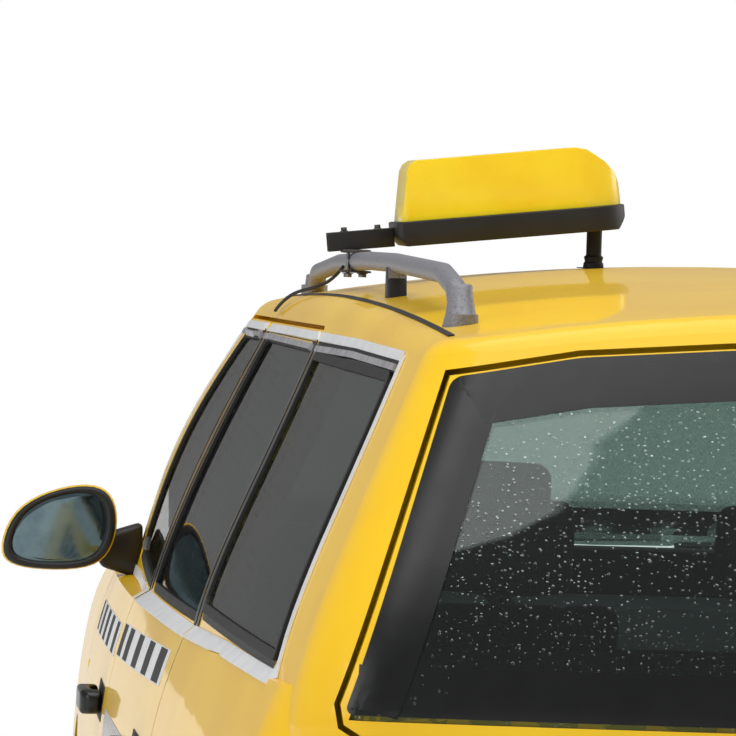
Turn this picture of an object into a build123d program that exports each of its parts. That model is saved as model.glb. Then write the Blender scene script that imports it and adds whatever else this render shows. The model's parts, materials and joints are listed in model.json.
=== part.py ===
"""Estate car in taxi trim, about 4.68 m long, as an assembly of panels, glass, cabin, running gear and roof sign.

Millimetres. +X is the car's left, +Y is its rear, +Z is up. The origin is on the ground under the middle of the car.
The painted body is one thick-walled form, cut into its real panels where they meet.
"""
import os
from collections import namedtuple
from math import cos, degrees, hypot, radians, sin, sqrt, tan

from build123d import *

os.makedirs("parts", exist_ok=True)

# Driving sizes
FRONT_AXLE_Y = -1435
REAR_AXLE_Y = 1268
TRACK_HALF = 757
TYRE_R = 316
TYRE_WIDTH = 195
RIM_R = 196
ARCH_Z = 324
ARCH_R = 354
GROUND_CLEARANCE = 185
GAP = 6.0
RUN_FIT = 0.06
POCKET_FIT = 0.4

# Body form, one closed plan outline per height
Section = namedtuple("Section", "z half_front corner_y front_y half_mid half_rear rear_corner_y rear_y front_r rear_r")
LOWER_FORM = [
    Section(GROUND_CLEARANCE, 745, -2110, -2255, 800, 762, 2160, 2262, 260, 150),
    Section(300, 800, -2165, -2310, 852, 812, 2205, 2312, 260, 150),
    Section(480, 822, -2185, -2335, 873, 836, 2228, 2338, 260, 150),
    Section(680, 815, -2150, -2305, 873, 834, 2215, 2332, 260, 150),
    Section(850, 792, -2080, -2240, 858, 812, 2205, 2326, 260, 150),
    Section(940, 764, -2035, -2200, 834, 784, 2192, 2317, 260, 150),
    Section(1060, 700, -1960, -2120, 790, 735, 2140, 2260, 260, 150),
]
UPPER_FORM = [
    Section(900, 790, -1190, -1400, 815, 758, 2225, 2298, 120, 120),
    Section(985, 770, -1050, -1245, 801, 750, 2245, 2306, 120, 120),
    Section(1180, 736, -690, -885, 736, 684, 2160, 2222, 110, 110),
    Section(1372, 652, -365, -545, 650, 600, 2046, 2110, 100, 100),
    Section(1520, 580, -140, -320, 580, 532, 1940, 2006, 90, 90),
]
CABIN_FORM = [
    Section(215, 700, -1120, -1130, 742, 690, 2190, 2215, 60, 90),
    Section(600, 720, -1120, -1130, 757, 700, 2200, 2230, 60, 90),
    Section(900, 720, -1080, -1125, 752, 700, 2180, 2235, 60, 90),
    Section(985, 702, -960, -1105, 748, 695, 2170, 2225, 75, 80),
    Section(1180, 690, -610, -800, 690, 636, 2090, 2150, 70, 70),
    Section(1372, 602, -290, -460, 602, 550, 1980, 2040, 60, 60),
    Section(1520, 530, -70, -230, 530, 482, 1870, 1930, 50, 50),
]

# Crowned top surfaces
ROOF_TOP_Z = 1488
ROOF_PEAK_Y = 700
ROOF_LENGTH_R = 26000
ROOF_WIDTH_R = 3200
ROOF_EDGE_R = 45
ROOF_WALL = 30
CEILING_WIDTH_R = 2600
COWL_Y = -1230
COWL_Z = 985
BELT_RISE = 0.0145
NOSE_Y = -2420
NOSE_Z = 640
DECK_WIDTH_R = 8000
BONNET_WALL = 28
SKIN_DEPTH = 20
PANEL_WALL = 34
GLASS = 6

# Lines where the panels meet
BUMPER_TOP_Z = 545
SILL_Z = 262
FLOOR_Z = 215
LOAD_FLOOR_Z = 480
FLOOR_WALL = 30
HEEL_Y = 820
FIREWALL_Y = -1165
FIREWALL_WALL = 35
ROOF_JOINT_X = 582
DOOR_SHEAR = 0.3
DOOR_FRONT_Y = -1010


def plan_outline(row, inset=0.0):
    """Closed plan outline at the row's height, drawn inwards by inset."""
    hf, hm, hr = row.half_front - inset, row.half_mid - inset, row.half_rear - inset
    fc, f = row.corner_y + inset, row.front_y + inset
    rc, r = row.rear_corner_y - inset, row.rear_y - inset
    with BuildSketch(Plane.XY.offset(row.z)) as outline:
        with BuildLine():
            ThreePointArc((-hf, fc), (0, f), (hf, fc))
            ThreePointArc((hf, fc), (hm, 0), (hr, rc))
            ThreePointArc((hr, rc), (0, r), (-hr, rc))
            ThreePointArc((-hr, rc), (-hm, 0), (-hf, fc))
        make_face()
        fillet(outline.vertices().sort_by(Axis.Y)[:2], row.front_r)
        fillet(outline.vertices().sort_by(Axis.Y)[-2:], row.rear_r)
    return outline.sketch


def block(x0, x1, y0, y1, z0, z1):
    """Plain box between two corners."""
    with BuildPart() as solid:
        with Locations(((x0 + x1) / 2, (y0 + y1) / 2, (z0 + z1) / 2)):
            Box(x1 - x0, y1 - y0, z1 - z0)
    return solid.part


LEFT = block(0, 1100, -2500, 2500, 0, 1700)


def form(rows, inset=0.0, ruled=False):
    """Left half of the solid through the plan outlines of rows."""
    with BuildPart() as solid:
        for row in rows:
            add(plan_outline(row, inset))
        loft(ruled=ruled)
        add(LEFT, mode=Mode.INTERSECT)
    return solid.part


def under_surface(side_line, width_r, top_z):
    """Everything under a surface that follows a side line and falls away to both sides."""
    turn = degrees(1100 / width_r)
    axis = Axis((0, 0, top_z - width_r), (0, 1, 0))
    with BuildPart() as solid:
        with BuildSketch(Plane.YZ):
            with BuildLine():
                side_line()
            make_face()
        revolve(axis=axis, revolution_arc=2 * turn)
    return solid.part.rotate(axis, -turn)


def under_roof(drop=0.0, width_r=ROOF_WIDTH_R):
    reach = 2600
    angle = degrees(reach / ROOF_LENGTH_R)

    def side_line():
        arc = CenterArc(
            (ROOF_PEAK_Y, ROOF_TOP_Z - ROOF_LENGTH_R), ROOF_LENGTH_R - drop, 90 - angle, 2 * angle
        )
        Polyline(arc @ 0, (ROOF_PEAK_Y + reach, -300), (ROOF_PEAK_Y - reach, -300), arc @ 1)

    return under_surface(side_line, width_r, ROOF_TOP_Z)


def under_deck(drop=0.0):
    back = (2500, COWL_Z + BELT_RISE * (2500 - COWL_Y) - drop)
    cowl = (COWL_Y, COWL_Z - drop)

    def side_line():
        belt = Line(back, cowl)
        bonnet = TangentArc(cowl, (NOSE_Y, NOSE_Z - drop), tangent=belt % 1)
        Polyline(bonnet @ 1, (NOSE_Y, -200), (2500, -200), back)

    return under_surface(side_line, DECK_WIDTH_R, COWL_Z)


def body_form():
    """Left half of the closed outer form of the car."""
    with BuildPart() as solid:
        for row in UPPER_FORM:
            add(plan_outline(row))
        loft()
        add(under_roof(), mode=Mode.INTERSECT)
        fillet(solid.faces().sort_by(Axis.Z)[-1].edges(), ROOF_EDGE_R)
        add(LEFT, mode=Mode.INTERSECT)
        add(common(form(LOWER_FORM), under_deck()))
    return solid.part


def cut(shape, *tools):
    """The shape without the tools."""
    with BuildPart() as solid:
        add(shape)
        add(tools, clean=False, mode=Mode.SUBTRACT)
    return solid.part


def common(shape, *tools):
    """What the shape shares with every tool."""
    with BuildPart() as solid:
        add(shape)
        for tool in tools:
            add(tool, clean=False, mode=Mode.INTERSECT)
    return solid.part


def joined(*shapes):
    with BuildPart() as solid:
        add(shapes, clean=False)
    return solid.part


def inside_form(inset):
    """Left half of the outer form drawn inwards by inset, open past the roof, so that cutting it leaves a skin."""
    return joined(common(form(LOWER_FORM, inset), under_deck(inset)), form(UPPER_FORM, inset))


def side_prism(points, grow=0.0, shear=0.0, x0=450, x1=1000, corner=0.0):
    """Prism over a side-view outline, grown outwards; shear slants it rearwards towards the outside."""
    with BuildPart() as solid:
        with BuildSketch(Plane.YZ.offset(x0)) as outline:
            with BuildLine():
                Polyline(*points, close=True)
            make_face()
            if corner:
                fillet(outline.vertices(), corner)
            if grow:
                offset(amount=grow, kind=Kind.INTERSECTION)
        extrude(amount=(x1 - x0) * hypot(1, shear), dir=(1, shear, 0))
    return solid.part


def front_prism(points, y0, y1, grow=0.0):
    """Prism along Y over a front-view outline of (x, z) points, grown outwards."""
    with BuildPart() as solid:
        with BuildSketch(Plane.XZ.offset(-y0)):
            with BuildLine():
                Polyline(*points, close=True)
            make_face()
            if grow:
                offset(amount=grow, kind=Kind.INTERSECTION)
        extrude(amount=-(y1 - y0))
    return solid.part


def plan_prism(points, z0, z1, grow=0.0):
    """Prism along Z over a plan outline of (x, y) points, grown outwards."""
    with BuildPart() as solid:
        with BuildSketch(Plane.XY.offset(z0)):
            with BuildLine():
                Polyline(*points, close=True)
            make_face()
            if grow:
                offset(amount=grow, kind=Kind.INTERSECTION)
        extrude(amount=z1 - z0)
    return solid.part


def along_x(y, z, radius, x0, x1):
    """Round bar along X."""
    with BuildPart() as solid:
        with BuildSketch(Plane.YZ.offset(x0)):
            with Locations((y, z)):
                Circle(radius)
        extrude(amount=x1 - x0)
    return solid.part


def along_z(x, y, radius, z0, z1):
    """Round bar along Z."""
    with BuildPart() as solid:
        with BuildSketch(Plane.XY.offset(z0)):
            with Locations((x, y)):
                Circle(radius)
        extrude(amount=z1 - z0)
    return solid.part


def rod(start, end, radius):
    """Round bar between two points."""
    direction = Vector(*end) - Vector(*start)
    with BuildPart() as solid:
        with BuildSketch(Plane(origin=start, z_dir=direction)):
            Circle(radius)
        extrude(amount=direction.length)
    return solid.part


def mirrored(shape):
    return mirror(shape, about=Plane.YZ)


def whole(shape):
    """Left half joined to its mirror image across the middle of the car."""
    return joined(shape, mirrored(shape))


def save(shape, name):
    with BuildPart() as holder:
        add(shape)
    holder.part.label = name
    export_step(holder.part, f"parts/{name}.step")


def save_pair(shape, name):
    """Left piece and its mirror image as two files."""
    save(shape, f"{name}_left")
    save(mirrored(shape), f"{name}_right")


def ring_arm(centre, plane_x, start, turn, inner_r, outer_r, width, grow=0.0):
    """Goose-neck of a hinge: a ring segment about the hinge axis, in the plane given by its own X direction."""
    inner_r, outer_r = inner_r - grow, outer_r + grow
    slack = degrees(grow / inner_r) * (1 if turn > 0 else -1)
    with BuildPart() as solid:
        with BuildSketch(plane_x):
            with BuildLine():
                inner = CenterArc(centre, inner_r, start - slack, turn + 2 * slack)
                outer = CenterArc(centre, outer_r, start - slack, turn + 2 * slack)
                Line(inner @ 0, outer @ 0)
                Line(inner @ 1, outer @ 1)
            make_face()
        extrude(amount=width / 2 + grow, both=True)
    return solid.part


# Left half of the closed forms that every panel is cut from
OUTER = body_form()
INNER_SKIN = inside_form(SKIN_DEPTH)
PILLAR_SKIN = inside_form(SKIN_DEPTH + GAP)
GLASS_FRONT = inside_form(GLASS)
GLASS_BACK = inside_form(2 * GLASS)

# Wheel housings
FRONT_HOUSING_R = 375
REAR_HOUSING_R = 362
FRONT_HOUSING_X = 472
REAR_HOUSING_X = 636
HOUSING_WALL = 8
AXLE_HOLE_R = 60
LIP_X = 816


def housing(axle_y, radius, inner_x, wall=0.0):
    """Space of one wheel: a drum inside the wing and the arch opening through it."""
    r = radius + wall
    arch = ARCH_R + wall
    return joined(
        along_x(axle_y, ARCH_Z, r, inner_x - wall, LIP_X + wall),
        block(inner_x - wall, LIP_X + wall, axle_y - r, axle_y + r, 100, ARCH_Z),
        along_x(axle_y, ARCH_Z, arch, LIP_X - 1, 1000),
        block(LIP_X - 1, 1000, axle_y - arch, axle_y + arch, 100, ARCH_Z),
    )


front_house = housing(FRONT_AXLE_Y, FRONT_HOUSING_R, FRONT_HOUSING_X)
rear_house = housing(REAR_AXLE_Y, REAR_HOUSING_R, REAR_HOUSING_X)
cabin_void = cut(
    common(form(CABIN_FORM, ruled=True), under_roof(ROOF_WALL, CEILING_WIDTH_R)),
    housing(REAR_AXLE_Y, REAR_HOUSING_R, REAR_HOUSING_X, HOUSING_WALL),
    housing(FRONT_AXLE_Y, FRONT_HOUSING_R, FRONT_HOUSING_X, HOUSING_WALL),
    block(-10, 1000, HEEL_Y, 2500, 0, LOAD_FLOOR_Z),
)
under_void = block(-10, REAR_HOUSING_X - HOUSING_WALL, HEEL_Y + FLOOR_WALL, 2200, 0, LOAD_FLOOR_Z - FLOOR_WALL)
bay_form = common(form(LOWER_FORM, PANEL_WALL), under_deck(BONNET_WALL), block(-10, 1000, -2400, FIREWALL_Y, 0, 1100))
bay_void = cut(bay_form, housing(FRONT_AXLE_Y, FRONT_HOUSING_R, FRONT_HOUSING_X, HOUSING_WALL))


def piece_of(region, *voids):
    """What the closed form has inside the region, without the voids."""
    return cut(common(OUTER, region), *voids)


# Side-view outlines of doors and windows, (y, z), as they lie on the outer skin
FRONT_DOOR = [(-1008, SILL_Z), (-1008, 905), (-940, 962), (-281, 1380), (90, 1382.6), (-68, 940), (-72, SILL_Z)]
REAR_DOOR = [
    (-66, SILL_Z), (-62, 940), (96, 1382.6), (870, 1388), (985, 980), (972, 700), (930, 535), (884, 400),
    (868, SILL_Z),
]
BOTH_DOORS = FRONT_DOOR[:4] + REAR_DOOR[3:]
FRONT_WINDOW = [(-850, 985), (-262, 1362), (52, 1366), (-96, 972)]
REAR_WINDOW = [(-18, 976), (130, 1366), (838, 1368), (948, 992)]
QUARTER_WINDOW = [(1020, 1002), (908, 1368), (1806, 1366), (1968, 1002)]
WINDOW_SEAT = 14
FRONT_DOOR_AXIS = (864, -1011)
REAR_DOOR_AXIS = (873, -69)
DOOR_OPENING = 65
PLUG = 45
PLUG_X = 690
BELT_Z = 955
ARM_INNER_R = 30
ARM_OUTER_R = 42
POCKET_INNER_R = 18
ARM_HEIGHT = 44
ARM_START = 118
ARM_TURN = 96
ARM_LEVELS = (400, 780)
ARM_CLEARANCE = 2


def on_skin(points):
    """Side-view points moved to where the slanted prism starts, so that they lie right at the outer skin."""
    moved = []
    for y, z in points:
        skin_x = 862 if z < 910 else 812 - (z - 960) * 0.4
        moved.append((y - DOOR_SHEAR * (skin_x - 450), z))
    return moved


def door_prism(points, grow=0.0):
    return side_prism(on_skin(points), grow, DOOR_SHEAR, corner=22)


def door_arm(axis, z, grow=0.0):
    return ring_arm(axis, Plane.XY.offset(z), ARM_START, ARM_TURN, ARM_INNER_R, ARM_OUTER_R, ARM_HEIGHT, grow)


def arm_pocket(axis, z, fit=POCKET_FIT):
    """Room for a hinge arm and its swing."""
    return ring_arm(axis, Plane.XY.offset(z), ARM_START, ARM_TURN, POCKET_INNER_R, ARM_OUTER_R, ARM_HEIGHT, fit)


def door_opening(points, axis):
    """What a door takes out of the body inside its skin: its plug with a gap all round, and the arms' pockets."""
    plug = door_prism(points, GAP - PLUG)
    return joined(
        common(plug, block(400, 1100, -1200, 1100, BELT_Z + GAP, 1500)),
        common(plug, block(PLUG_X - GAP, 1100, -1200, 1100, 0, BELT_Z + GAP)),
        *[arm_pocket(axis, z) for z in ARM_LEVELS],
    )


def door(points, window, axis):
    """Left door and its glass: outer skin, plug below the belt, window frame and hinge arms."""
    skin = cut(door_prism(points), INNER_SKIN)
    plug = common(door_prism(points, -PLUG), block(PLUG_X, 1100, -1200, 1100, 0, BELT_Z))
    pane = cut(common(door_prism(window, WINDOW_SEAT), GLASS_FRONT), GLASS_BACK)
    panel = cut(common(OUTER, joined(skin, plug)), cabin_void, rear_house, pane, door_prism(window))
    return joined(panel, *[door_arm(axis, z) for z in ARM_LEVELS]), pane


front_door, front_door_glass = door(FRONT_DOOR, FRONT_WINDOW, FRONT_DOOR_AXIS)
rear_door, rear_door_glass = door(REAR_DOOR, REAR_WINDOW, REAR_DOOR_AXIS)
front_door = cut(front_door, *[arm_pocket(REAR_DOOR_AXIS, z, ARM_CLEARANCE) for z in ARM_LEVELS])

# Windscreen, quarter glass and tailgate, outlines in front view (x, z) or side view (y, z)
SCREEN = [(-60, 1000), (698, 1012), (566, 1376), (-60, 1404)]
SCREEN_SEAT = 26
TAIL = [
    (-50, 556), (598, 556), (628, 690), (640, 925), (702, 962), (706, 985), (572, 1363), (420, 1391), (240, 1405),
    (-50, 1411),
]
TAIL_SIDE = [(2120, 400), (2500, 400), (2500, 1500), (1955, 1500), (1955, 1400), (2165, 985), (2120, 870)]
TAIL_GAP = 7
TAIL_DEPTH_GAP = 9
TAIL_PLUG = 40
TAIL_GLASS = [(-50, 968), (697, 968), (565, 1356), (420, 1384), (240, 1398), (-50, 1404)]
TAIL_GLASS_SEAT = 45
TAIL_AXIS = (2076, 1418)
TAIL_OPENING = 78
TAIL_HINGE_X = 180
TAIL_HINGE_BOX = [(1985, 1438), (1985, 1376), (2062, 1376), (2031, 1438)]
TAIL_ARM = (150, 125)
TAIL_ARM_INNER_R = 30
TAIL_ARM_OUTER_R = 42


def tail_arm(grow=0.0):
    place = Plane.YZ.offset(TAIL_HINGE_X)
    return ring_arm(TAIL_AXIS, place, *TAIL_ARM, TAIL_ARM_INNER_R, TAIL_ARM_OUTER_R, ARM_HEIGHT, grow)


tail_side = side_prism(TAIL_SIDE, x0=-10, x1=1000)
tail_opening = common(
    joined(
        cut(front_prism(TAIL, 1900, 2400, TAIL_GAP), INNER_SKIN.moved(Location((0, -TAIL_DEPTH_GAP, 0)))),
        front_prism(TAIL, 1900, 2400, TAIL_GAP - TAIL_PLUG),
    ),
    side_prism(TAIL_SIDE, grow=GAP, x0=-10, x1=1000),
)
tail_glass_half = common(cut(common(front_prism(TAIL_GLASS, 1900, 2400), OUTER), GLASS_FRONT), tail_side)
tail_half = joined(tail_arm(), cut(
    common(
        joined(cut(front_prism(TAIL, 1900, 2400), INNER_SKIN), front_prism(TAIL, 1900, 2400, -TAIL_PLUG)),
        tail_side,
        OUTER,
    ),
    cabin_void,
    front_prism(TAIL_GLASS, 1900, 2400, -TAIL_GLASS_SEAT),
    tail_glass_half,
))
screen_half = cut(common(front_prism(SCREEN, -1400, 0), OUTER), OUTER.moved(Location((0, 3, -5))))
screen_hole = common(front_prism(SCREEN, -1400, 0, -SCREEN_SEAT), block(-10, 1000, -1400, 0, 1000, 1400))
quarter_glass = cut(common(side_prism(QUARTER_WINDOW, corner=30), OUTER), GLASS_FRONT)
quarter_hole = side_prism(QUARTER_WINDOW, -22, corner=10)

# Bonnet
BONNET = [(-50, -2262), (330, -2246), (560, -2180), (668, -1900), (702, -1166), (420, -1262), (-50, -1305)]
BONNET_AXIS = (-1160, 960)
BONNET_OPENING = 55
BONNET_HINGE_X = 650
BONNET_ARM = (197, 110)


def bonnet_arm(grow=0.0):
    place = Plane.YZ.offset(BONNET_HINGE_X)
    return ring_arm(BONNET_AXIS, place, *BONNET_ARM, ARM_INNER_R, ARM_OUTER_R, ARM_HEIGHT, grow)


bonnet_half = joined(piece_of(plan_prism(BONNET, 560, 1100), bay_form), bonnet_arm())
bonnet_hole = cut(plan_prism(BONNET, 560, 1100, GAP), bay_form)

# Body panels between those
bumper_front_region = block(-10, 1100, -2400, FRONT_AXLE_Y - ARCH_R + 1, 0, BUMPER_TOP_Z)
grille_region = block(-10, 400, -2400, -2000, BUMPER_TOP_Z, 900)
headlamp_region = front_prism([(400, BUMPER_TOP_Z), (1000, 590), (1000, 735), (400, 760)], -2400, -1980)
scuttle_region = plan_prism(
    [(-10, -1400), (430, -1400), (705, -1180), (705, DOOR_FRONT_Y), (-10, DOOR_FRONT_Y)], 900, 999
)
firewall_region = block(-10, 745, FIREWALL_Y, FIREWALL_Y + 60, 0, 900)
floor_region = joined(
    block(-10, 700, FIREWALL_Y + 60, HEEL_Y + FLOOR_WALL, 0, FLOOR_Z + 5),
    block(-10, 640, HEEL_Y - 1, 2150, 0, LOAD_FLOOR_Z + 5),
)
roof_region = block(-10, ROOF_JOINT_X, -700, 2200, 1350, 1600)
bumper_rear_region = block(-10, 1100, REAR_AXLE_Y + ARCH_R - 1, 2400, 0, BUMPER_TOP_Z)
tail_lamp_region = front_prism([(600, 700), (1000, 700), (1000, 930), (600, 930)], 2080, 2400)
front_door_hole = door_opening(FRONT_DOOR, FRONT_DOOR_AXIS)
rear_door_hole = door_opening(REAR_DOOR, REAR_DOOR_AXIS)
door_skin_hole = cut(door_prism(BOTH_DOORS, GAP), PILLAR_SKIN)

front_bumper_half = piece_of(bumper_front_region, bay_form, front_house)
grille_half = piece_of(grille_region, bay_form, bonnet_hole)
headlamp = piece_of(headlamp_region, bay_form, bonnet_hole)
front_structure_half = joined(
    cut(
        common(
            housing(FRONT_AXLE_Y, FRONT_HOUSING_R, FRONT_HOUSING_X, HOUSING_WALL),
            joined(bay_form, block(-10, 745, FIREWALL_Y, FIREWALL_Y + 130, 185, 900)),
        ),
        front_house,
        block(440, 500, FRONT_AXLE_Y - 150, FRONT_AXLE_Y + 150, 100, 450),
    ),
    piece_of(firewall_region, cabin_void, front_house),
)
scuttle_half = cut(
    joined(
        piece_of(scuttle_region, bay_void, bonnet_hole, cabin_void, screen_half, screen_hole),
        block(BONNET_HINGE_X - 40, BONNET_HINGE_X + 40, -1205, -1120, 900, 924),
        block(BONNET_HINGE_X - 40, BONNET_HINGE_X + 40, -1164, -1120, 900, 945),
    ),
    bonnet_arm(POCKET_FIT),
)
front_wing = piece_of(
    block(-10, 1100, -2400, DOOR_FRONT_Y, 0, 999), bay_form, front_house, cabin_void, bonnet_hole,
    bumper_front_region, grille_region, headlamp_region, scuttle_region, front_structure_half, floor_region,
    front_door_hole, door_skin_hole, screen_half,
)
floor_half = common(
    cut(floor_region, cabin_void, under_void, front_house, rear_house, front_structure_half, along_x(REAR_AXLE_Y, TYRE_R, AXLE_HOLE_R, 590, 660)), OUTER
)
roof_half = cut(
    joined(
        piece_of(roof_region, cabin_void, tail_opening, screen_half, screen_hole),
        side_prism(TAIL_HINGE_BOX, x0=TAIL_HINGE_X - 40, x1=TAIL_HINGE_X + 40),
    ),
    tail_arm(POCKET_FIT),
)
rear_bumper_half = piece_of(bumper_rear_region, cabin_void, under_void, rear_house, tail_opening, floor_region)
tail_lamp = piece_of(tail_lamp_region, cabin_void, tail_opening)
side_frame = piece_of(
    block(-10, 1100, DOOR_FRONT_Y, 2500, 0, 1700), cabin_void, under_void, front_house, rear_house, front_door_hole,
    rear_door_hole, door_skin_hole, tail_opening, screen_half, screen_hole, quarter_glass, quarter_hole, floor_region, roof_region,
    bumper_rear_region, tail_lamp_region, front_structure_half,
)

# Wheels
TYRE_SHOULDER = 22
TYRE_WALL = 9
RIM_BEAD_R = 196
RIM_HALF = 78
RIM_WALL = 8
DISC_OUT = 42
HUB_R = 62
SPINDLE_R = 28
SPINDLE_OUT = 62
LUG_CIRCLE_R = 55
SPOKES = 7
WINDOW_R = 30
WINDOW_CIRCLE_R = 128


def wheel_pieces(axle_y):
    """Tyre and rim of a left wheel; the rim runs on a spindle of SPINDLE_R."""
    half = TYRE_WIDTH / 2
    middle = Plane.XY.offset(0)
    with BuildPart() as tyre:
        with BuildSketch(Plane.XZ):
            with BuildLine():
                Polyline((-RIM_HALF, RIM_BEAD_R), (-half, RIM_BEAD_R + 25), (-half, TYRE_R - TYRE_SHOULDER - 12),
                         (-half + TYRE_SHOULDER, TYRE_R - 3), (0, TYRE_R), (half - TYRE_SHOULDER, TYRE_R - 3),
                         (half, TYRE_R - TYRE_SHOULDER - 12), (half, RIM_BEAD_R + 25), (RIM_HALF, RIM_BEAD_R),
                         (RIM_HALF - 14, RIM_BEAD_R), (half - TYRE_WALL - 3, RIM_BEAD_R + 30),
                         (half - TYRE_WALL - 3, TYRE_R - TYRE_SHOULDER - 14), (half - TYRE_SHOULDER, TYRE_R - 16),
                         (-half + TYRE_SHOULDER, TYRE_R - 16), (-half + TYRE_WALL + 3, TYRE_R - TYRE_SHOULDER - 14),
                         (-half + TYRE_WALL + 3, RIM_BEAD_R + 30), (-RIM_HALF + 14, RIM_BEAD_R), close=True)
            make_face()
        revolve(axis=Axis.X)
    with BuildPart() as rim:
        with BuildSketch(Plane.XZ):
            with BuildLine():
                Polyline((-RIM_HALF, RIM_BEAD_R), (RIM_HALF, RIM_BEAD_R), (RIM_HALF, RIM_BEAD_R - RIM_WALL),
                         (DISC_OUT + 6, RIM_BEAD_R - RIM_WALL - 12), (DISC_OUT, HUB_R + 12), (DISC_OUT + 8, HUB_R),
                         (DISC_OUT + 8, SPINDLE_R + RUN_FIT), (0, SPINDLE_R + RUN_FIT), (0, HUB_R - 6),
                         (DISC_OUT - 14, HUB_R + 6), (DISC_OUT - 14, RIM_BEAD_R - RIM_WALL - 22),
                         (DISC_OUT - 30, RIM_BEAD_R - RIM_WALL - 12), (-RIM_HALF, RIM_BEAD_R - RIM_WALL), close=True)
            make_face()
        revolve(axis=Axis.X)
        with BuildSketch(Plane.YZ.offset(DISC_OUT - 40)):
            with PolarLocations(WINDOW_CIRCLE_R, SPOKES):
                SlotOverall(2 * WINDOW_R + 20, WINDOW_R * 1.3)
        extrude(amount=60, mode=Mode.SUBTRACT)
    place = Location((TRACK_HALF, axle_y, TYRE_R))
    return tyre.part.moved(place), rim.part.moved(place)


front_tyre, front_rim = wheel_pieces(FRONT_AXLE_Y)
rear_tyre, rear_rim = wheel_pieces(REAR_AXLE_Y)

# Front suspension: knuckle between two arms, kingpin inside the rim
KINGPIN_X = 717
KINGPIN_R = 12
BALL_Z = 96
ARM_T = 22
ARM_GAP = 1
SUBFRAME_X = 330
UPRIGHT = 52
PIN_LENGTH = 26


def arm_level(side):
    return TYRE_R + side * (BALL_Z + ARM_T / 2)


knuckle = joined(
    block(KINGPIN_X - 24, KINGPIN_X + 24, FRONT_AXLE_Y - UPRIGHT / 2, FRONT_AXLE_Y + UPRIGHT / 2,
          TYRE_R - BALL_Z + ARM_GAP, TYRE_R + BALL_Z - ARM_GAP),
    along_z(KINGPIN_X, FRONT_AXLE_Y, KINGPIN_R, TYRE_R - BALL_Z - ARM_T, TYRE_R + BALL_Z + ARM_T),
    along_x(FRONT_AXLE_Y, TYRE_R, SPINDLE_R, KINGPIN_X, TRACK_HALF + SPINDLE_OUT),
    along_x(FRONT_AXLE_Y, TYRE_R, HUB_R - 10, KINGPIN_X + 10, TRACK_HALF - 1),
)


def wishbone(side):
    z = arm_level(side)
    with BuildPart() as arm:
        with BuildSketch(Plane.XY.offset(z - ARM_T / 2)):
            with BuildLine():
                Polyline((SUBFRAME_X - 5, FRONT_AXLE_Y - 130), (SUBFRAME_X - 5, FRONT_AXLE_Y + 130),
                         (KINGPIN_X - 30, FRONT_AXLE_Y + 26), (KINGPIN_X + 22, FRONT_AXLE_Y + 22),
                         (KINGPIN_X + 22, FRONT_AXLE_Y - 22), (KINGPIN_X - 30, FRONT_AXLE_Y - 26), close=True)
            make_face()
            with Locations((KINGPIN_X, FRONT_AXLE_Y)):
                Circle(KINGPIN_R + RUN_FIT, mode=Mode.SUBTRACT)
        extrude(amount=ARM_T)
    return arm.part


front_axle = whole(joined(
    block(0, SUBFRAME_X, FRONT_AXLE_Y - 160, FRONT_AXLE_Y + 160, 196, 240),
    block(200, FRONT_HOUSING_X - HOUSING_WALL - 0.3, FRONT_AXLE_Y - 200, FRONT_AXLE_Y - 156, 200, 250),
    block(200, FRONT_HOUSING_X - HOUSING_WALL - 0.3, FRONT_AXLE_Y + 156, FRONT_AXLE_Y + 200, 200, 250),
    block(SUBFRAME_X - 60, SUBFRAME_X, FRONT_AXLE_Y - 140, FRONT_AXLE_Y + 140, 200, TYRE_R + BALL_Z + ARM_T),
    wishbone(1),
    wishbone(-1),
))
REAR_BEAM_R = 34
rear_axle = whole(joined(
    along_x(REAR_AXLE_Y, TYRE_R, REAR_BEAM_R, 0, TRACK_HALF - 10),
    along_x(REAR_AXLE_Y, TYRE_R, SPINDLE_R, 0, TRACK_HALF + SPINDLE_OUT),
    block(440, 500, HEEL_Y + FLOOR_WALL, REAR_AXLE_Y + 60, TYRE_R - 30, TYRE_R + 30),
))
engine_block = block(-262, 262, -2020, -1230, 250.3, 760)

# Cabin
DASH_TOP_Z = 930
DRIVER_X = 370
with BuildPart() as dashboard:
    with BuildSketch(Plane.YZ.offset(-700)):
        with BuildLine():
            Polyline((-1128, 640), (-1128, 905), (-1000, DASH_TOP_Z), (-800, 920), (-720, 860), (-700, 760), (-790, 640),
                     close=True)
        make_face()
    extrude(amount=1400)
    add(block(-130, 130, -1129, -650, 215, 700))
    add(block(-120, 120, -652, 80, 215, 400))
WHEEL_TILT = 24
WHEEL_CENTRE = Vector(DRIVER_X, -560, 850)
WHEEL_R = 180
GRIP_R = 13
SHAFT_R = 12
SHAFT_LENGTH = 240
SLEEVE_R = 34
SLEEVE_START = 60
steering_normal = Vector(0, cos(radians(WHEEL_TILT)), sin(radians(WHEEL_TILT)))
steering_plane = Plane(origin=WHEEL_CENTRE, x_dir=(1, 0, 0), z_dir=steering_normal)
with BuildPart() as steering_wheel:
    with BuildSketch(steering_plane.offset(-GRIP_R)):
        Circle(WHEEL_R + GRIP_R)
        Circle(WHEEL_R - GRIP_R, mode=Mode.SUBTRACT)
        Rectangle(2 * WHEEL_R, 46)
        with Locations((0, -WHEEL_R / 2)):
            Rectangle(40, WHEEL_R)
        Circle(62)
    extrude(amount=2 * GRIP_R)
    with BuildSketch(steering_plane):
        Circle(SHAFT_R)
    extrude(amount=-SHAFT_LENGTH)
sleeve = cut(
    rod(WHEEL_CENTRE - steering_normal * SLEEVE_START, WHEEL_CENTRE - steering_normal * 330, SLEEVE_R),
    rod(WHEEL_CENTRE, WHEEL_CENTRE - steering_normal * (SHAFT_LENGTH + 1), SHAFT_R + RUN_FIT),
)
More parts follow.
